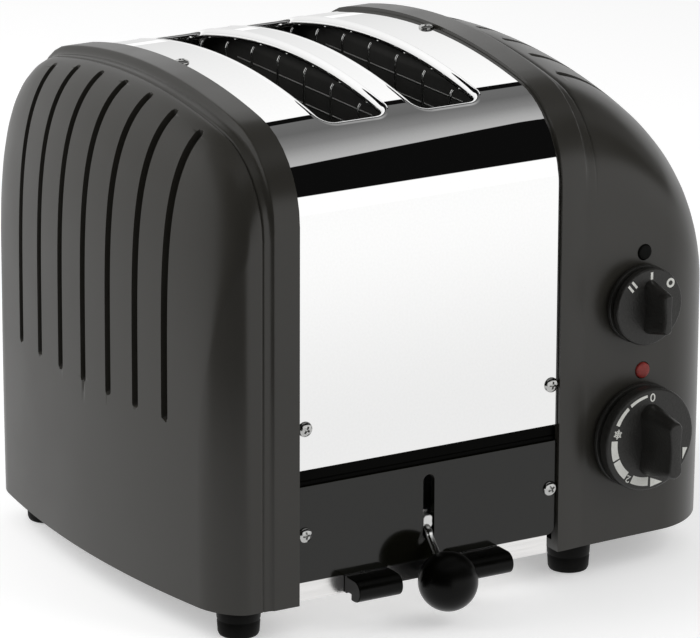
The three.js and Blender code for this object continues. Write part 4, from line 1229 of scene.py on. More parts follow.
@dataclass
class SteelWrap:
    """The bent, polished sheet with two bread slots whose edges roll down into lips."""

    half_width: float = 61.7
    half_depth: float = 100.5
    top: float = 218.3
    bottom: float = 71.4
    thickness: float = 0.9
    slot_half_length: float = 77.0
    slot_half_width: float = 14.25
    slot_centre: float = 22.0
    slot_corner: float = 5.0
    lip_depth: float = 3.6
    roll: float = 2.6
    bead: float = 0.3
    cell_end: float = 92.0
    side_steps: int = 64
    end_steps: int = 8
    corner_steps: int = 10

    @property
    def arch(self) -> Arch:
        """Its side view."""
        return Arch(self.half_depth, self.top)

    @property
    def straights(self) -> Pair:
        """Half lengths of the straight parts of a slot's end and side."""
        return self.slot_half_width - self.slot_corner, self.slot_half_length - self.slot_corner

    def slot_line(self, offset: float) -> np.ndarray:
        """A slot's edge in plan, drawn out by an offset, with points that match at every offset.

        Args:
            offset: How far outward.

        Returns:
            Pairs of x and y about the slot's middle.
        """
        side, end = self.straights
        radius, round_steps = self.slot_corner + offset, self.corner_steps
        up, over = before(-end, end, self.side_steps), before(side, -side, self.end_steps)
        points = [(side + radius, y) for y in up]
        points += arc(radius, 0, 90, round_steps, (side, end))[:-1]
        points += [(x, end + radius) for x in over]
        points += arc(radius, 90, 180, round_steps, (-side, end))[:-1]
        points += [(-side - radius, y) for y in -up]
        points += arc(radius, 180, 270, round_steps, (-side, -end))[:-1]
        points += [(x, -end - radius) for x in -over]
        points += arc(radius, 270, 360, round_steps, (side, -end))[:-1]
        return np.array(points)

    def cell_line(self, low: float, high: float) -> np.ndarray:
        """The edge of the sheet around a slot, point for point with the slot's edge.

        Args:
            low: Its lower x about the slot's middle.
            high: Its higher x.

        Returns:
            Pairs of x and y about the slot's middle.
        """
        side, end = self.straights
        last, half_corner = self.cell_end, self.corner_steps // 2
        up, over = before(-end, end, self.side_steps), before(side, -side, self.end_steps)
        points = [(high, y) for y in up]
        points += [(high, y) for y in before(end, last, half_corner)]
        points += [(x, last) for x in before(high, side, half_corner)]
        points += [(x, last) for x in over]
        points += [(x, last) for x in before(-side, low, half_corner)]
        points += [(low, y) for y in before(last, end, half_corner)]
        points += [(low, y) for y in -up]
        points += [(low, y) for y in before(-end, -last, half_corner)]
        points += [(x, -last) for x in before(low, -side, half_corner)]
        points += [(x, -last) for x in -over]
        points += [(x, -last) for x in before(side, high, half_corner)]
        points += [(high, y) for y in before(-last, -end, half_corner)]
        return np.array(points)

    def lifted(self, plan: np.ndarray, centre: float, drop: float) -> np.ndarray:
        """Plan points lifted onto the crown, less a drop."""
        x = plan[:, 0] + centre
        return np.column_stack([x, plan[:, 1], self.arch.height(plan[:, 1]) - drop])

    def cell(self, side: int) -> tuple[np.ndarray, np.ndarray]:
        """The net of the sheet around one slot, from its edge above, down the lip and back below.

        Args:
            side: -1 for the left slot, 1 for the right one.

        Returns:
            The net, and the plan of its outer edge.
        """
        centre = self.slot_centre * side
        low, high = sorted((-centre, self.half_width * side - centre))
        edge = self.cell_line(low, high)
        inner = self.slot_line(self.roll + 0.9)
        rows = [self.lifted(edge + (inner - edge) * t, centre, 0.0) for t in (0.0, 0.35, 0.65, 0.88, 1.0)]
        for out, rise in ((0.55, 0.12), (0.2, 0.8), (0.0, 1.0)):
            rows.append(self.lifted(self.slot_line(self.roll + out), centre, -self.bead * rise))
        tall = self.roll + self.bead
        for degrees in (15, 30, 45, 60, 75, 90):
            a = math.radians(degrees)
            plan = self.slot_line(self.roll * (1 - math.sin(a)))
            rows.append(self.lifted(plan, centre, tall * (1 - math.cos(a)) - self.bead))
        for out, short in ((0.0, 0.3), (0.2, 0.0), (0.7, 0.0), (0.9, 0.3)):
            rows.append(self.lifted(self.slot_line(out), centre, self.lip_depth - short))
        small = self.roll - self.thickness
        for degrees in (90, 60, 30, 0):
            a = math.radians(degrees)
            plan = self.slot_line(self.roll - small * math.sin(a))
            rows.append(self.lifted(plan, centre, self.roll - small * math.cos(a)))
        rows += [self.lifted(inner + (edge - inner) * t, centre, self.thickness) for t in (0.5, 1.0)]
        return np.array(rows), edge + (centre, 0.0)

    def flank(self, facing_side: int, across: np.ndarray) -> tuple[np.ndarray, np.ndarray]:
        """The nets of the shoulder and face on one side, outer and inner.

        Args:
            facing_side: -1 for the front, 1 for the rear.
            across: The x of its columns.

        Returns:
            The outer and the inner net.
        """
        arch = self.arch
        first = math.asin((self.cell_end - arch.across) / arch.shoulder)
        line = []
        for k in range(25):
            a = first + (math.pi / 2 - first) * k / 24
            line.append((arch.across + arch.shoulder * math.sin(a),
                         arch.shoulder_height + arch.shoulder * math.cos(a), math.sin(a), math.cos(a)))
        for z in np.linspace(arch.shoulder_height, self.bottom, 14)[1:]:
            line.append((self.half_depth, z, 1.0, 0.0))
        outer, inner = [], []
        for k, (y, z, ny, nz) in enumerate(line):
            iy, iz = (y, z - self.thickness) if k == 0 else (y - ny * self.thickness, z - nz * self.thickness)
            outer.append([(x, y * facing_side, z) for x in across])
            inner.append([(x, iy * facing_side, iz) for x in across])
        return np.array(outer), np.array(inner)

    def mesh(self) -> bpy.types.Mesh:
        """The sheet as one closed body.

        Returns:
            Its mesh.
        """
        shell = Shell()
        edges = []
        for side in (-1, 1):
            net, edge = self.cell(side)
            shell.grid(net, loop_columns=True)
            outer = np.abs(edge[:, 0] - self.half_width * side) < 1e-6
            order = np.argsort(edge[outer][:, 1])
            shell.strip(net[0][outer][order], net[-1][outer][order])
            edges.append(edge)
        plan = np.vstack(edges)
        for facing_side in (-1, 1):
            on_end = np.abs(plan[:, 1] - self.cell_end * facing_side) < 1e-6
            across = np.unique(np.round(plan[on_end][:, 0], 6))
            outer, inner = self.flank(facing_side, across)
            shell.grid(outer)
            shell.grid(inner)
            shell.strip(outer[-1], inner[-1])
            shell.strip(outer[:, 0], inner[:, 0])
            shell.strip(outer[:, -1], inner[:, -1])
        return shell.mesh("steel_wrap_sheet", weld=5e-6)

    def true_normals(self, mesh: bpy.types.Mesh) -> None:
        """Gives the outer face the exact direction of the bent sheet, so that it mirrors cleanly.

        Args:
            mesh: The sheet.
        """
        mesh.shade_smooth()
        mesh.set_sharp_from_angle(angle=math.radians(50))
        back = TO_ROW.inverted()
        places = [back @ v.co for v in mesh.vertices]
        arch = self.arch
        normals = [Vector(n.vector) for n in mesh.corner_normals]
        for face in mesh.polygons:
            for loop in face.loop_indices:
                p = places[mesh.loops[loop].vertex_index]
                inside = abs(p.y) < self.half_depth - 1e-3
                if inside and abs(p.z - float(arch.height(np.array(p.y)))) > 2e-3:
                    continue
                exact = arch.normal(p.y, p.z)
                if exact.dot(face.normal) > 0.6:
                    normals[loop] = exact
        mesh.normals_split_custom_set([tuple(n) for n in normals])

    def build(self) -> None:
        """Places the wrap."""
        mesh = self.mesh()
        self.true_normals(mesh)
        Piece("steel_wrap_sheet", mesh, Finish.POLISHED, replaces=("steel_wrap",), crease=0.0).place()


# ---------------------------------------------------------------- lower panels, feet and screws


@dataclass
class LowerFront:
    """The enamelled panels under the wrap, and above each a near-black strip whose colour is painted shade for
    the gap under the wrap's edge.
    """

    half_width: float = 61.5
    face: float = 100.5
    thickness: float = 3.0
    top: float = 64.3
    front_bottom: float = 23.5
    rear_bottom: float = 15.6
    corner: float = 4.0
    small_corner: float = 0.6
    strip_top: float = 74.2
    strip_face: float = 99.4
    strip_thickness: float = 2.6
    slot_width: float = 5.4
    slot_bottom: float = 31.9
    slot_top: float = 59.8

    def outline(self, facing_side: int, bottom: float) -> list[Pair]:
        """The panel's outline, square but for its lower corner beside the wide casing.

        Args:
            facing_side: -1 for the front, 1 for the rear.
            bottom: Height of its lower edge.

        Returns:
            Pairs of numbers, anticlockwise.
        """
        half, small = self.half_width, self.small_corner
        corners = ((half, self.top, 0, small), (-half, self.top, 90, small), (-half, bottom, 180, small),
                   (half, bottom, 270, self.corner))
        points: list[Pair] = []
        for x, z, start, size in corners:
            centre = (x - math.copysign(size, x), z - size if z == self.top else z + size)
            points += arc(size, start, start + 90, 6, centre)
        return points if facing_side < 0 else [(-x, z) for x, z in reversed(points)]

    def panel(self, name: str, facing_side: int, bottom: float, slotted: bool) -> bpy.types.Mesh:
        """A panel as a plate with an optional slot for the lever.

        Args:
            name: The mesh's name.
            facing_side: -1 for the front, 1 for the rear.
            bottom: Height of its lower edge.
            slotted: Whether it has the slot.

        Returns:
            The mesh.
        """
        back = (self.face - self.thickness) * facing_side
        place = facing((0.0, back, 0.0), (-facing_side, 0, 0), (0, 0, 1))
        mesh = prism(self.outline(facing_side, bottom), self.thickness, name, place)
        if not slotted:
            return mesh
        half = self.slot_width / 2
        slot = rounded_box(-half, half, self.slot_bottom, self.slot_top, half - 0.01, 12)
        cutter = prism(slot, self.thickness + 4, "cutter", place @ Matrix.Translation((0, 0, -2)))
        return carved(mesh, [cutter])

    def strip(self, name: str, facing_side: int) -> bpy.types.Mesh:
        """A near-black strip with a folded lower edge, painted shade for the gap under the wrap's edge.

        Args:
            name: The mesh's name.
            facing_side: -1 for the front, 1 for the rear.

        Returns:
            The mesh.
        """
        outer, inner = 0.0, -self.strip_thickness
        foot = self.top + 0.2
        outline = [(inner, foot), (outer, foot), (outer, foot + 1.6), (outer - 0.35, foot + 2.0),
                   (outer - 0.35, self.strip_top - 0.6), (outer - 0.8, self.strip_top), (inner, self.strip_top)]
        place = facing((self.half_width, self.strip_face * facing_side, 0), (0, facing_side, 0), (0, 0, 1))
        shift = Matrix.Translation((0, 0, 0 if facing_side < 0 else -2 * self.half_width))
        return prism(outline, 2 * self.half_width, name, place @ shift)

    def build(self) -> None:
        """Places the panels and strips."""
        for label, side, bottom, slotted in (("front", -1, self.front_bottom, True),
                                             ("rear", 1, self.rear_bottom, False)):
            plate, dark = f"{label}_panel_plate", f"{label}_dark_strip"
            Piece(plate, self.panel(plate, side, bottom, slotted), Finish.PANEL,
                  replaces=(f"{label}_base_panel",), bevel=0.45).place()
            # The strip's near-black finish is painted shade for the gap under the wrap's edge.
            Piece(dark, self.strip(dark, side), Finish.STRIP, replaces=(f"{label}_seal_strip",),
                  bevel=0.15).place()


@dataclass
class Feet:
    """Four turned rubber feet with a waist ring and a screw recess below."""

    spread: float = 79.7
    reach: float = 83.1
    top_radius: float = 9.4
    bottom_radius: float = 8.6
    heights: Pair = (14.4, 15.8)

    def profile(self, height: float) -> list[Pair]:
        """A foot's half section.

        Args:
            height: Its full height.

        Returns:
            Pairs of radius and height.
        """
        low, high = self.bottom_radius, self.top_radius
        return [(0.0, 3.4), (3.0, 3.4), (3.2, 0.6), (3.7, 0.0), (low - 1.6, 0.0), (low - 0.5, 0.4), (low, 1.5),
                (low + 0.3, 6.0), (low + 0.1, 6.4), (low + 0.1, 7.0), (low + 0.4, 7.4), (high, height - 0.6),
                (high - 0.3, height), (0.0, height)]

    def build(self) -> None:
        """Places the feet."""
        for side_name, side, height in (("left", -1, self.heights[0]), ("right", 1, self.heights[1])):
            for end_name, end in (("front", -1), ("rear", 1)):
                place = Matrix.Translation((self.spread * side, self.reach * end, 0.0))
                name = f"foot_{end_name}_{side_name}"
                mesh = lathe(self.profile(height), 48, name + "_rubber", place)
                Piece(name + "_rubber", mesh, Finish.RUBBER, replaces=(name,)).place()


@dataclass
class Screws:
    """Pan-head screws with a cross recess, tapered from its mouth above the head to its floor.

    The floor and the mouth are each half a slot's length, half its width and its level from the head's top.
    """

    spread: float = 58.7
    head_radius: float = 3.2
    head_height: float = 1.6
    shank_radius: float = 1.5
    length: float = 5.5
    face: float = 100.5
    wrap_top: float = 218.3
    upper: float = 88.8
    lower: float = 43.8
    recess_floor: Point = (1.0, 0.28, -1.1)
    recess_mouth: Point = (2.1, 0.55, 0.5)

    def mesh(self, name: str, place: Matrix) -> bpy.types.Mesh:
        """One screw, head up along its own Z.

        Args:
            name: The mesh's name.
            place: Where it stands in the toaster.

        Returns:
            The mesh.
        """
        head, shank, top = self.head_radius, self.shank_radius, self.head_height
        dome = arc(1.0, 0, 84, 7)
        profile = [(0.0, -self.length), (shank - 0.3, -self.length), (shank, -self.length + 0.5), (shank, 0.02),
                   (head - 0.1, 0.02), (head, 0.15), *((head * c, 0.3 + (top - 0.3) * s) for c, s in dome),
                   (0.0, top)]
        blank = lathe(profile, 40, name, place)
        cutters = []
        for quarter in (0, 1):
            shell = Shell()
            for reach, half, level in (self.recess_floor, self.recess_mouth):
                shell.add(np.array([(-reach, -half, top + level), (reach, -half, top + level),
                                    (reach, half, top + level), (-reach, half, top + level)]))
            shell.faces = [(0, 3, 2, 1), (4, 5, 6, 7), (0, 1, 5, 4), (1, 2, 6, 5), (2, 3, 7, 6), (3, 0, 4, 7)]
            turn = Matrix.Rotation(math.radians(90 * quarter), 4, "Z")
            cutters.append(shell.mesh("cross", place @ turn))
        return carved(blank, cutters)

    def build(self) -> None:
        """Places all ten screws."""
        for index, (side_name, side) in enumerate((("left", -1), ("right", 1))):
            x = self.spread * side
            spots = [(f"screw_top_{side_name}", (x, 0.0, self.wrap_top), (0, 0, 1))]
            for end_name, end in (("front", -1), ("rear", 1)):
                for level, height in (("upper", self.upper), ("lower", self.lower)):
                    name = f"screw_{end_name}_{level}_{side_name}"
                    spots.append((name, (x, self.face * end, height), (0, end, 0)))
            for number, (name, origin, axis) in enumerate(spots):
                spin = Matrix.Rotation(math.radians(20 + 37 * number + 25 * index), 4, "Z")
                mesh = self.mesh(name + "_head", along(origin, axis) @ spin)
                Piece(name + "_head", mesh, Finish.SCREW, replaces=(name,), crease=30.0).place()


# ---------------------------------------------------------------- bread chamber


@dataclass
class HeaterBoards:
    """Three upright mica boards whose tops follow the wrap, each crossed by thin ribbons."""

    spread: float = 43.4
    thickness: float = 1.0
    reach: float = 85.6
    bottom: float = 62.0
    clearance: float = 1.9
    ribbon: float = 0.35
    first_ribbon: float = 201.0
    pitch: float = 7.6
    insets: tuple[float, ...] = (30.0, 20.0, *[9.0] * 15)

    def build(self) -> None:
        """Places the boards and their ribbons."""
        ys = np.linspace(self.reach, -self.reach, 41)
        top = SteelWrap().arch.height(ys) - self.clearance
        outline = [(-self.reach, self.bottom), (self.reach, self.bottom), *zip(ys.tolist(), top.tolist())]
        for label, x in (("left", -self.spread), ("centre", 0.0), ("right", self.spread)):
            place = facing((x - self.thickness / 2, 0, 0), (0, 1, 0), (0, 0, 1))
            mesh = prism(outline, self.thickness, f"heater_{label}_board", place)
            Piece(f"heater_{label}_board", mesh, Finish.MICA, replaces=(f"heater_{label}",), bevel=0.1).place()
            lines = []
            for face in (-1, 1):
                deep = x + face * (self.thickness / 2 + self.ribbon * 0.4)
                for k, inset in enumerate(self.insets):
                    half, z = self.reach - inset, self.first_ribbon - k * self.pitch
                    lines.append([(deep, -half, z), (deep, half, z)])
            name = f"heater_{label}_ribbons"
            Piece(name, tube(lines, self.ribbon, name), Finish.CHASSIS, crease=50.0).place()


@dataclass
class WireGuards:
    """Combs of guard wires beside the slots, each tip bent towards the slot's edge."""

    slot_centre: float = 22.0
    half_spread: float = 11.75
    wire: float = 0.55
    first: float = -59.9
    pitch: float = 21.7
    count: int = 7
    rail: float = 52.0
    rail_reach: float = 85.6
    drop: float = 4.2
    tip_reach: float = 1.2
    tip_drop: float = 2.2

    def build(self) -> None:
        """Places the four combs."""
        arch = SteelWrap().arch
        for side_name, side in (("left", -1), ("right", 1)):
            for place_name, outward in (("inner", -1), ("outer", 1)):
                x = (self.slot_centre + outward * self.half_spread) * side
                lean = outward * side * self.tip_reach
                lines = [[(x, -self.rail_reach, self.rail), (x, self.rail_reach, self.rail)]]
                for i in range(self.count):
                    y = self.first + i * self.pitch
                    top = float(arch.height(np.array(y))) - self.drop
                    lines.append([(x, y, self.rail), (x, y, top - 8), (x, y, top - self.tip_drop - 0.8),
                                  (x + lean * 0.35, y, top - self.tip_drop + 0.6), (x + lean, y, top - 0.4)])
                node = f"wire_guard_{side_name}_{place_name}"
                name = node + "_wires"
                Piece(name, tube(lines, self.wire, name), Finish.WIRE, replaces=(node,), crease=50.0).place()


@dataclass(frozen=True)
class CarriedNodes:
    """CAD nodes whose own shape stays, with their finish and a softening of their edges."""

    finish: Finish
    names: tuple[str, ...]
    edge: float

    def dress(self) -> None:
        """Dresses each node."""
        for name in self.names:
            node = frame["nodes"][name]
            self.finish.dress(node)
            round_edges(node, self.edge, 50.0, 1)
            LOG.info("%s: %s", name, self.finish.name.lower())


CARRIED = (
    CarriedNodes(Finish.CHASSIS, ("inner_plate_left", "inner_plate_right", "chamber_front_wall",
                                  "chamber_rear_wall", "control_bracket", "timer_case"), 0.2),
    CarriedNodes(Finish.WIRE, ("bread_rack_left", "bread_rack_right", "guide_rod_left", "guide_rod_right",
                               "timer_shaft", "selector_shaft", "tray_hinge_pin"), 0.2),
    CarriedNodes(Finish.TRAY, ("carriage_crossbar",), 0.3),
    CarriedNodes(Finish.CERAMIC, ("selector_switch", "button_switch", "terminal_block"), 0.5),
    CarriedNodes(Finish.BLACK, ("pilot_lamp_holder",), 0.3),
    CarriedNodes(Finish.TRAY, ("crumb_tray",), 0.2),
)


# ---------------------------------------------------------------- lever and tray pulls


@dataclass
class Lever:
    """The bent rod and black ball of the bread lever, and the small tab behind the rod."""

    rod_radius: float = 1.55
    height: float = 39.7
    inner: float = 93.6
    front: float = 99.6
    straight: float = 0.2
    bend: float = 4.0
    rod_sunk: float = 7.5
    ball_radius: float = 12.4
    ball_forward: float = 116.0
    ball_height: float = 18.3
    tab: tuple[float, ...] = (-2.4, 1.9, 36.6, 42.3)
    tab_front: float = 100.4
    tab_rear: float = 95.0

    @property
    def corner(self) -> Vector:
        """Where the rod starts to turn down."""
        return Vector((-0.9, -self.front - self.straight, self.height - 2.6))

    @property
    def ball_place(self) -> Vector:
        """The ball's centre."""
        return Vector((0.0, -self.ball_forward, self.ball_height))

    @property
    def aim(self) -> Vector:
        """The way from the rod's bend to the ball."""
        return (self.ball_place - self.corner).normalized()

    def rod(self) -> bpy.types.Mesh:
        """The rod, from inside the slot round its bend and into the ball.

        Returns:
            Its mesh.
        """
        corner = self.corner
        after, control = corner + self.aim * self.bend, corner + Vector((0.0, -self.bend / 2, 0.0))
        line = [Vector((-aside, -self.inner - out, self.height - down))
                for aside, out, down in ((0.0, 0.0, 0.0), (0.3, 3.0, 0.4), (0.6, 4.6, 1.2))]
        for t in np.linspace(0.0, 1.0, 13).tolist():
            line.append(corner * (1 - t) ** 2 + control * 2 * t * (1 - t) + after * t ** 2)
        line.append(self.ball_place - self.aim * (self.ball_radius - self.rod_sunk))
        return tube([line], self.rod_radius, "lever_rod", 8)

    def ball(self) -> bpy.types.Mesh:
        """The ball, with a socket for the rod.

        Returns:
            Its mesh.
        """
        radius, neck = self.ball_radius, self.rod_radius + 0.25
        start = math.degrees(math.acos((neck + 0.5) / radius))
        profile = [(0.0, -radius), *arc(radius, -86, start, 39)]
        lip = profile[-1][1]
        profile += [(neck + 0.15, lip - 0.05), (neck, lip - 0.4), (neck, lip - 6.0), (0.0, lip - 6.0)]
        return lathe(profile, 64, "lever_ball_knob", along(tuple(self.ball_place), tuple(-self.aim)))

    def build(self) -> None:
        """Places the rod, the tab behind it and the ball."""
        Piece("lever_rod", self.rod(), Finish.WIRE, Body.CARRIAGE, ("lever_arm",), crease=50.0).place()
        place = facing((0, -self.tab_rear, 0), (1, 0, 0), (0, 0, 1))
        tab = prism(rounded_box(*self.tab, 1.5), self.tab_front - self.tab_rear, "lever_tab", place)
        Piece("lever_tab", tab, Finish.TAB, Body.CARRIAGE, bevel=0.3).place()
        Piece("lever_ball_knob", self.ball(), Finish.BLACK, Body.CARRIAGE, ("lever_ball",)).place()


@dataclass
class TrayPulls:
    """The two black finger pulls on the crumb tray's front lip."""

    width: float = 20.6
    centres: Pair = (-29.4, 23.8)
    back: float = -100.1
    forward: float = -112.4
    top: float = 23.0
    bottom: float = 13.8
    tray_floor: float = 15.6
    lip: float = 2.6

    def outline(self) -> list[Pair]:
        """A pull's side view.

        Returns:
            Pairs of y and z.
        """
        radius = (self.top - self.bottom) / 2
        centre = (self.forward + radius, self.bottom + radius)
        foot, hook, under = centre[0] + self.lip, self.back - self.lip / 2, self.bottom + self.lip
        return [(self.back, self.tray_floor), (self.back, self.top), *arc(radius, 90, 270, 28, centre),
                (foot, self.bottom), (foot, under), (hook, under), (hook, self.tray_floor)]

    def build(self) -> None:
        """Places both pulls."""
        for label, centre in zip(("left", "right"), self.centres):
            place = facing((centre - self.width / 2, 0, 0), (0, 1, 0), (0, 0, 1))
            mesh = prism(self.outline(), self.width, f"tray_pull_{label}_grip", place)
            Piece(f"tray_pull_{label}_grip", mesh, Finish.BLACK, Body.TRAY, (f"tray_pull_{label}",), bevel=1.1,
                  bevel_limit=30.0).place()


# ---------------------------------------------------------------- controls


@dataclass
class Knob:
    """A round knob with a waisted bar to turn it by.

    The bar's foot and end are each half its length and its thickness there.
    """

    name: str
    node: str
    body: Body
    place: Matrix
    radius: float
    base_radius: float
    depth: float
    grip_foot: Pair
    grip_end: Pair
    grip_proud: float
    shaft_radius: float
    standoff: float = 0.6
    rim: float = 1.3
    waist: float = 0.24

    @property
    def face(self) -> float:
        """How far the knob's face stands from the casing."""
        return self.standoff + self.depth

    def skirt(self) -> bpy.types.Mesh:
        """The round part, with a socket behind for its shaft and a groove round its side.

        Returns:
            Its mesh.
        """
        r, base, s, m = self.radius, self.base_radius, self.standoff, self.rim
        bore, gap, edge, top = self.shaft_radius + 0.3, r - 2.8, r - 0.2, s + self.depth
        profile = [(0.0, s + 6.0), (bore, s + 6.0), (bore, s + 0.3), (bore + 0.3, s), (base - 0.4, s),
                   (base, s + 0.4), (r - 0.3, s + 0.9), (r, s + 1.3), (r, s + 2.5), (r - 0.3, s + 2.9),
                   (gap, s + 3.1), (gap, s + 4.5), (r - 0.7, s + 4.7), (r - 0.25, s + 5.2), (edge, top - m),
                   (edge - m * 0.12, top - m * 0.6), (edge - m * 0.35, top - m * 0.27),
                   (edge - m * 0.65, top - m * 0.07), (edge - m, top), (0.0, top)]
        return lathe(profile, 96, self.name + "_skirt", self.place)

    def grip(self) -> bpy.types.Mesh:
        """The bar: pinched at its middle, narrower towards its end, with round shoulders.

        Returns:
            Its mesh.
        """
        rows = []
        (foot_half, foot_thick), (end_half, end_thick) = self.grip_foot, self.grip_end
        proud = self.grip_proud
        levels = [(-1.0, 0.0, 0.0), (0.6, 0.0, 0.0), (proud * 0.3, 0.3, 0.0), (proud * 0.6, 0.66, 0.0),
                  (proud - 1.9, 1.0, 0.0), (proud - 1.1, 1.0, 0.18), (proud - 0.5, 1.0, 0.5),
                  (proud - 0.12, 1.0, 1.0), (proud, 1.0, 1.7)]
        for height, share, soft in levels:
            ring = []
            long = foot_half + (end_half - foot_half) * share - soft
            thick = (foot_thick + (end_thick - foot_thick) * share) / 2 - soft * 0.6
            for y in np.linspace(-long + thick, long - thick, 15):
                pinch = 1 - self.waist * math.cos(y / long * math.pi / 2) ** 2
                ring.append((thick * pinch, y))
            top = arc(thick, 0, 180, 8, (0.0, long - thick))[1:-1]
            back = [(-x, y) for x, y in reversed(ring)]
            under = arc(thick, 180, 360, 8, (0.0, -long + thick))[1:-1]
            rows.append([(x, y, self.face + height) for x, y in ring + top + back + under])
        shell = Shell()
        net = np.array(rows)
        shell.grid(net, loop_columns=True)
        shell.polygon(net[0])
        shell.polygon(net[-1])
        return shell.mesh(self.name + "_grip", self.place)

    def build(self) -> None:
        """Places the skirt and the bar."""
        Piece(self.name + "_skirt", self.skirt(), Finish.DIAL, self.body, (self.node,), crease=40.0).place()
        Piece(self.name + "_grip", self.grip(), Finish.DIAL, self.body, crease=45.0, bevel=0.3).place()


@dataclass
class Marks:
    """Thin raised marks on a knob's face, drawn about its middle."""

    knob: Knob
    thickness: float = 0.12
    strokes: list[np.ndarray] = field(default_factory=list)

    def stroke(self, points: list, width: float) -> None:
        """Adds a line of even width.

        Args:
            points: Pairs of numbers along its middle.
            width: Its width.
        """
        line = np.array(points, float)
        step = np.gradient(line, axis=0)
        step /= np.linalg.norm(step, axis=1, keepdims=True)
        across = np.column_stack([-step[:, 1], step[:, 0]]) * width / 2
        self.strokes.append(np.stack([line - across, line + across]))

    def taper(self, radius: float, start: float, end: float, first: float, last: float) -> None:
        """Adds a curved wedge that widens along an arc.

        Args:
            radius: The arc's outer radius.
            start: First angle in degrees, anticlockwise from the right.
            end: Last angle.
            first: Its width at the start.
            last: Its width at the end.
        """
        rays = np.array(arc(1.0, start, end, 15))
        widths = np.linspace(first, last, 16)[:, None]
        self.strokes.append(np.stack([rays * radius, rays * (radius - widths)]))

    def ring(self, centre: Pair, radius: float, width: float) -> None:
        """Adds a small ring."""
        self.stroke(arc(radius, 0, 360, 28, centre), width)

    def polygon(self, points: list) -> None:
        """Adds a filled triangle."""
        a, b, c = points
        self.strokes.append(np.array([[a, b], [a, c]], float))

    def turned_stroke(self, points: list, width: float, degrees: float, spot: Pair) -> None:
        """Adds a line turned about its own origin and moved to a spot.

        Args:
            points: Pairs of numbers along its middle.
            width: Its width.
            degrees: How far it is turned, anticlockwise.
            spot: Where its origin goes.
        """
        c, s = math.cos(math.radians(degrees)), math.sin(math.radians(degrees))
        self.stroke([(x * c - y * s + spot[0], x * s + y * c + spot[1]) for x, y in points], width)

    def build(self) -> None:
        """Places the marks as one piece."""
        shell = Shell()
        base = self.knob.face - 0.03
        for pair in self.strokes:
            low, high = (np.dstack([pair, np.full(pair.shape[:2], z)]) for z in (base, base + self.thickness))
            net = np.stack([low[0], low[1], high[1], high[0]])
            shell.grid(net, loop_rows=True)
            shell.polygon(net[:, 0])
            shell.polygon(net[:, -1])
        name = self.knob.name + "_marks"
        Piece(name, shell.mesh(name, self.knob.place), Finish.MARK, self.knob.body).place()


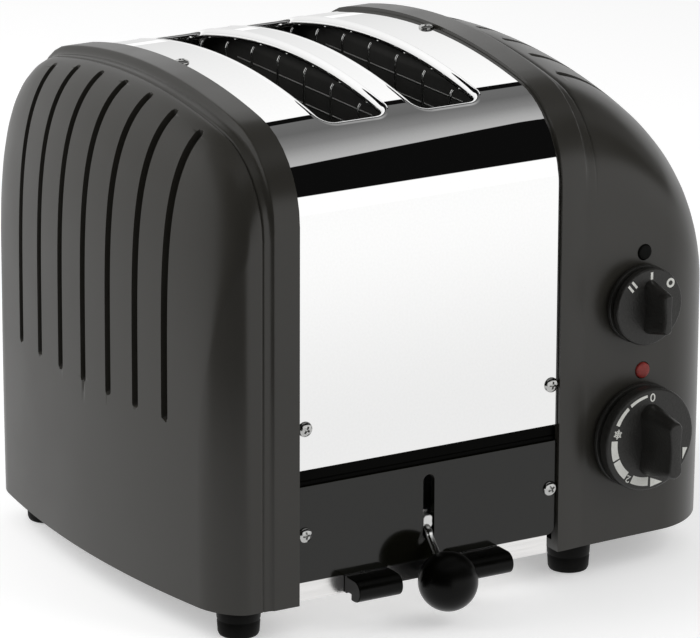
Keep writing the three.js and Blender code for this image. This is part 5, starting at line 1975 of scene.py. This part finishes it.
@dataclass
class Controls:
    """The knobs, lamp and button on the right casing's swept front face."""

    centre: float = 101.066
    face: float = 100.1768
    angle: float = 2.3374
    timer_height: float = 60.8076
    selector_height: float = 117.8996
    lamp_height: float = 87.906
    button_height: float = 139.003
    small_offset: float = 2.9
    wall: float = 4.0
    bore_radii: tuple[float, ...] = (3.3, 2.8, 3.7, 3.5)
    lamp_radius: float = 3.4
    lamp_back: float = -7.2
    button_radius: float = 3.2
    button_back: float = -9.4

    def spot(self, height: float, across: float = 0.0) -> Matrix:
        """A frame on the face whose X is to the right, Y is up and Z points out of the casing.

        Args:
            height: Height above the floor.
            across: How far to the right of the dials' axis.

        Returns:
            The matrix.
        """
        turn = Matrix.Rotation(math.radians(self.angle), 4, "Z")
        flat = facing((0, 0, 0), (1, 0, 0), (0, 0, 1)) @ Matrix.Translation((across, 0, 0))
        return Matrix.Translation((self.centre, -self.face, height)) @ turn @ flat

    def bores(self) -> tuple[Bore, ...]:
        """The holes that the controls pass through in the casing's front wall.

        Returns:
            The two ends and the radius of each.
        """
        aside = self.small_offset
        spots = (self.spot(self.timer_height), self.spot(self.selector_height),
                 self.spot(self.lamp_height, aside), self.spot(self.button_height, aside))
        return tuple((tuple(spot @ Vector((0, 0, 4))), tuple(spot @ Vector((0, 0, -self.wall - 3))), radius)
                     for spot, radius in zip(spots, self.bore_radii))

    def timer(self) -> None:
        """Places the timer knob and its dial marks."""
        knob = Knob("timer_dial_knob", "timer_knob", Body.TIMER, self.spot(self.timer_height), radius=22.4,
                    base_radius=20.4, depth=10.0, grip_foot=(15.5, 11.0), grip_end=(12.5, 6.8), grip_proud=18.5,
                    shaft_radius=3.0)
        knob.build()
        marks = Marks(knob)
        for span in ((95.5, 122, 1.1, 1.4), (126.3, 152, 1.5, 1.9), (172.3, 198.6, 3.0, 3.3),
                     (201, 228.5, 3.3, 3.5), (239.5, 267, 3.5, 3.8)):
            marks.taper(19.9, *span)
        turn = np.linspace(0, 2 * math.pi, 29)
        marks.stroke([(0.8 + 1.0 * math.cos(a), 18.3 + 1.55 * math.sin(a)) for a in turn], 0.6)
        flake = (-16.7, 5.2)
        for degrees in (15, 75, 135):
            marks.turned_stroke([(-2.1, 0), (0, 0), (2.1, 0)], 0.55, degrees, flake)
        marks.ring(flake, 1.35, 0.4)
        two = [(-0.9, 0.9), (-0.45, 1.3), (0.35, 1.3), (0.9, 0.8), (0.55, 0.1), (-0.9, -1.3), (1.0, -1.3)]
        marks.turned_stroke(two, 0.5, 155, (-11.1, -15.2))
        marks.polygon([(6.5, -19.4), (0.3, -16.6), (0.3, -20.6)])
        marks.polygon([(16.7, -11.3), (16.7, -6.2), (19.1, -6.6)])
        marks.build()

    def selector(self) -> None:
        """Places the selector knob and its marks."""
        knob = Knob("selector_dial_knob", "selector_knob", Body.SELECTOR, self.spot(self.selector_height),
                    radius=16.7, base_radius=15.2, depth=8.0, grip_foot=(11.5, 6.0), grip_end=(9.0, 4.3),
                    grip_proud=13.5, shaft_radius=2.5, rim=0.9)
        knob.build()
        marks = Marks(knob)
        for shift in (-1.2, 1.2):
            marks.turned_stroke([(shift, -1.85), (shift, 0), (shift, 1.85)], 1.05, 41, (-9.0, 10.0))
        marks.stroke([(0.6, 11.8), (0.6, 13.3), (0.6, 14.9)], 1.2)
        marks.ring((10.2, 8.9), 1.55, 1.0)
        marks.build()

    def lamp(self) -> None:
        """Places the pilot lamp's low lens."""
        r, back = self.lamp_radius, self.lamp_back
        profile = [(0.0, back), (r, back), (r, 0.3), (r - 0.12, 0.62), (r - 0.45, 0.85), (r - 1.2, 0.98),
                   (0.0, 1.1)]
        mesh = lathe(profile, 48, "pilot_lamp_dome", self.spot(self.lamp_height, self.small_offset))
        Piece("pilot_lamp_dome", mesh, Finish.LENS, replaces=("pilot_lamp_lens",), crease=60.0).place()

    def button(self) -> None:
        """Places the push button."""
        r, back = self.button_radius, self.button_back
        profile = [(0.0, back), (r, back), (r, 0.4), (r - 0.15, 0.72), (r - 0.5, 0.88), (r - 1.2, 0.9),
                   (0.0, 0.8)]
        mesh = lathe(profile, 48, "push_button_cap", self.spot(self.button_height, self.small_offset))
        Piece("push_button_cap", mesh, Finish.BUTTON, Body.BUTTON, ("push_button",), crease=60.0).place()

    def build(self) -> None:
        """Places every control."""
        self.timer()
        self.selector()
        self.lamp()
        self.button()


@dataclass
class CordGland:
    """The rubber sleeve where a supply lead would enter the rear wall."""

    across: float = 98.066
    face: float = 100.2993
    angle: float = -2.3374
    height: float = 36.0
    radius: float = 7.5
    collar: float = 10.0
    collar_depth: float = 3.4
    bore: float = 3.8
    inner: float = -8.0

    def place(self) -> Matrix:
        """A frame on the rear face whose Z points out of the casing.

        Returns:
            The matrix.
        """
        turn = Matrix.Rotation(math.radians(self.angle), 4, "Z")
        flat = facing((0, 0, 0), (-1, 0, 0), (0, 0, 1))
        return Matrix.Translation((self.across, self.face, self.height)) @ turn @ flat

    def hole(self) -> Bore:
        """The hole in the casing's rear wall."""
        place = self.place()
        return tuple(place @ Vector((0, 0, 4))), tuple(place @ Vector((0, 0, -9))), self.radius + 0.2

    def build(self) -> None:
        """Places the gland."""
        inner, outer, bore, body, rim = self.inner, self.collar_depth, self.bore, self.radius, self.collar
        profile = [(bore, inner), (body - 0.4, inner), (body, inner + 0.4), (body, 0.3), (rim - 0.5, 0.3),
                   (rim, 0.8), (rim, outer - 1.2), (rim - 0.5, outer - 0.4), (rim - 1.6, outer - 0.2),
                   (bore + 1.6, outer), (bore + 0.5, outer - 0.1), (bore, outer - 0.7)]
        shell = Shell()
        shell.grid(turned(profile, 64), loop_rows=True, loop_columns=True)
        mesh = shell.mesh("cord_gland_sleeve", self.place())
        Piece("cord_gland_sleeve", mesh, Finish.GLAND, replaces=("cord_gland",)).place()


# ---------------------------------------------------------------- studio


@dataclass
class Studio:
    """The floor, lights, reflected surroundings and camera.

    By degrees of pitch from the front over the top to the rear, the steel mirrors white, dark, a grey band,
    a dark gap and white. A span is two places and the levels there. For the band's start and end the places
    are how far to the right and the levels are pitches. The rear gap is counted from the band's end.
    """

    camera_place: Point = (-1155.1, -1977.0, 800.9)
    right: Point = (0.85976, -0.51068, 0.00343)
    up: Point = (0.14674, 0.25348, 0.95615)
    lens: float = 292.71
    sensor: float = 36.0
    front_white: Span = (19.6, 20.3, 1.06, 0.0)
    band_start: Span = (0.4836, 0.5194, 57.0, 70.2)
    band_end: Span = (0.481, 0.500, 121.5, 128.3)
    band_greys: tuple[Pair, ...] = ((0.0, 0.47), (0.16, 0.39), (0.38, 0.23), (0.68, 0.13), (1.0, 0.145))
    rear_gap: Span = (8.8, 9.3, 0.0, 1.0)
    rear_white: Span = (138.0, 180.0, 1.03, 0.78)
    dark: float = 0.004
    soft_light: Span = (-0.2, 1.0, 0.4, 0.55)
    backdrop: float = 0.947
    floor_half: float = 4000.0
    floor_glow: float = 0.36
    floor_sheens: tuple[Span, Span] = ((-0.6, -0.3, 1.03, 0.88), (0.0, 0.4, 1.0, 0.9))
    card_centre: Pair = (-70.0, -60.0)
    card_radius: float = 330.0
    card_span: Pair = (2.0, 96.0)
    card_levels: tuple[float, ...] = (0.5, 260.0, 520.0)

    def camera(self) -> None:
        """Places the camera at the photograph's viewpoint."""
        data = bpy.data.cameras.new("camera")
        data.lens = self.lens
        data.sensor_width = self.sensor
        data.sensor_fit = "HORIZONTAL"
        data.clip_start, data.clip_end = 0.05, 50.0
        camera = linked("camera", data)
        x = Vector(self.right).normalized()
        z = x.cross(Vector(self.up)).normalized()
        y = z.cross(x)
        turn = Matrix((x, y, z)).transposed().to_4x4()
        place = TO_ROW @ Vector(self.camera_place)
        camera.matrix_world = Matrix.Translation(place) @ turn
        bpy.context.scene.camera = camera

    def world(self) -> None:
        """Pale surroundings to the eye, soft light, and the bands that the steel mirrors."""
        world = bpy.data.worlds.new("studio")
        bpy.context.scene.world = world
        g = Graph(world, "World")
        split = g.add("SeparateXYZ", Vector=g.add("TexCoord").outputs["Generated"])
        side, depth, height = (split.outputs[axis] for axis in "XYZ")
        pitch = g.math("ARCTAN2", height, g.math("MULTIPLY", depth, -1.0))
        degrees = g.math("MULTIPLY", pitch, 180 / math.pi)
        start = g.between(side, *self.band_start, smooth=False)
        end = g.between(side, *self.band_end, smooth=False)
        past_start, past_end = g.math("SUBTRACT", degrees, start), g.math("SUBTRACT", degrees, end)
        ramp = g.add("ValToRGB", Fac=g.math("DIVIDE", past_start, g.math("SUBTRACT", end, start)))
        stops = ramp.color_ramp.elements
        for stop, _ in self.band_greys[1:-1]:
            stops.new(stop)
        for element, (_, grey) in zip(stops, self.band_greys):
            element.color = (grey, grey, grey, 1.0)
        inside = g.math("MULTIPLY", g.between(past_start, -0.3, 0.4), g.between(past_end, -0.2, 0.2, 1.0, 0.0))
        band = g.math("MULTIPLY", inside, ramp.outputs[0])
        rear_white = g.between(degrees, *self.rear_white, smooth=False)
        rear = g.math("MULTIPLY", g.between(past_end, *self.rear_gap), rear_white)
        front = g.between(degrees, *self.front_white, smooth=False)
        mirrored = g.math("ADD", g.math("ADD", front, band), g.math("ADD", rear, self.dark))
        path = g.add("LightPath")
        soft = g.between(height, *self.soft_light, smooth=False)
        level = g.choose(path.outputs["Is Glossy Ray"], soft, mirrored)
        seen = g.choose(path.outputs["Is Camera Ray"], level, self.backdrop)
        g.finish(g.add("Background", Color=(1.0, 1.0, 1.0, 1.0), Strength=seen))

    def floor(self) -> None:
        """A pale floor that keeps the toaster's shadow and mirrors in the steel as a paler sheen, painted
        dimmer near the toaster's front as the floor's shade.
        """
        half = self.floor_half
        shell = Shell()
        shell.polygon(np.array([(-half, -half, 0), (half, -half, 0), (half, half, 0), (-half, half, 0)]))
        floor = linked("floor", shell.mesh("floor"))
        g = Graph(bpy.data.materials.new("floor"))
        path = g.add("LightPath")
        coords = g.add("TexCoord").outputs["Object"]
        tint = g.mix(g.noise(coords, 3.0, 2.0), (0.80, 0.80, 0.80), (0.82, 0.82, 0.82))
        matt = g.add("BsdfDiffuse", Color=tint)
        glow = g.add("Emission", Color=(1, 1, 1, 1), Strength=self.floor_glow)
        lit = g.add("AddShader")
        g.set(lit.inputs[0], matt.outputs[0])
        g.set(lit.inputs[1], glow.outputs[0])
        depth = g.add("SeparateXYZ", Vector=coords).outputs["Y"]
        # The near span is painted shade: the sheen dims close to the toaster's front, standing for the floor's
        # shade as the steel mirrors it.
        near, far = (g.between(depth, *span) for span in self.floor_sheens)
        sheen = g.add("Emission", Color=(1, 1, 1, 1), Strength=g.math("MULTIPLY", near, far))
        seen = g.layer(path.outputs["Is Camera Ray"], matt, lit)
        floor.data.materials.append(g.finish(g.layer(path.outputs["Is Glossy Ray"], seen, sheen)))

    def dark_card(self) -> None:
        """A curved dark card at the front left that only glossy surfaces see."""
        line = [(self.card_centre[0] - self.card_radius * math.sin(a),
                 self.card_centre[1] - self.card_radius * math.cos(a))
                for a in np.radians(np.linspace(*self.card_span, 24))]
        shell = Shell()
        shell.grid(np.array([[(x, y, z) for z in self.card_levels] for x, y in line]))
        card = linked("dark_card", shell.mesh("dark_card"))
        g = Graph(bpy.data.materials.new("dark_card"))
        cloth = g.noise(g.add("TexCoord").outputs["Object"], 40.0, 3.0)
        tint = g.mix(cloth, (0.004, 0.004, 0.003), (0.008, 0.008, 0.006))
        card.data.materials.append(g.finish(g.add("BsdfDiffuse", Color=tint)))
        card.visible_camera = False
        card.visible_diffuse = False
        card.visible_shadow = False

    def lamp(self, name: str, spot: Point, target: Point, size: float, power: float) -> None:
        """A square softbox.

        Args:
            name: The lamp's name.
            spot: Where it hangs, in toaster millimetres.
            target: Where it points.
            size: Its side in metres.
            power: Its power in watts.
        """
        data = bpy.data.lights.new(name, "AREA")
        data.size = size
        data.energy = power
        lamp = linked(name, data)
        start, end = TO_ROW @ Vector(spot), TO_ROW @ Vector(target)
        turn = (end - start).to_track_quat("-Z", "Y").to_matrix().to_4x4()
        lamp.matrix_world = Matrix.Translation(start) @ turn
        lamp.visible_glossy = False

    def build(self) -> None:
        """Sets up the studio."""
        bpy.context.scene.view_settings.view_transform = "Standard"
        self.camera()
        self.world()
        self.floor()
        self.dark_card()
        self.lamp("key", (700, -900, 900), (0, 0, 80), 0.9, 6.5)
        self.lamp("back_left", (-900, 500, 900), (-60, 0, 100), 0.9, 11.0)


def main() -> None:
    """Builds the toaster and its studio."""
    logging.basicConfig(level=logging.INFO, format="%(name)s %(message)s")
    controls, gland = Controls(), CordGland()
    left = EndCasing("left_end_casing", -1, reach=105.88, dome_drop=117.7, dome_curve=(4.4, 1.95),
                     plan_radius=17.9, sweep=0.0, end_bow=10.5, end_draft=0.6)
    right = EndCasing("right_end_casing", 1, reach=153.69, dome_drop=67.5, dome_curve=(1.11, 1.865),
                      plan_radius=33.7, sweep=math.radians(2.1), end_bow=7.9, end_draft=0.7, bottom=15.8,
                      soft_front=True, bores=(*controls.bores(), gland.hole()))
    Studio().build()
    for part in (left, right, SteelWrap(), LowerFront(), Feet(), Screws(), HeaterBoards(), WireGuards(),
                 Lever(), TrayPulls(), controls, gland):
        part.build()
    for group in CARRIED:
        group.dress()


if __name__ == "__main__":
    main()
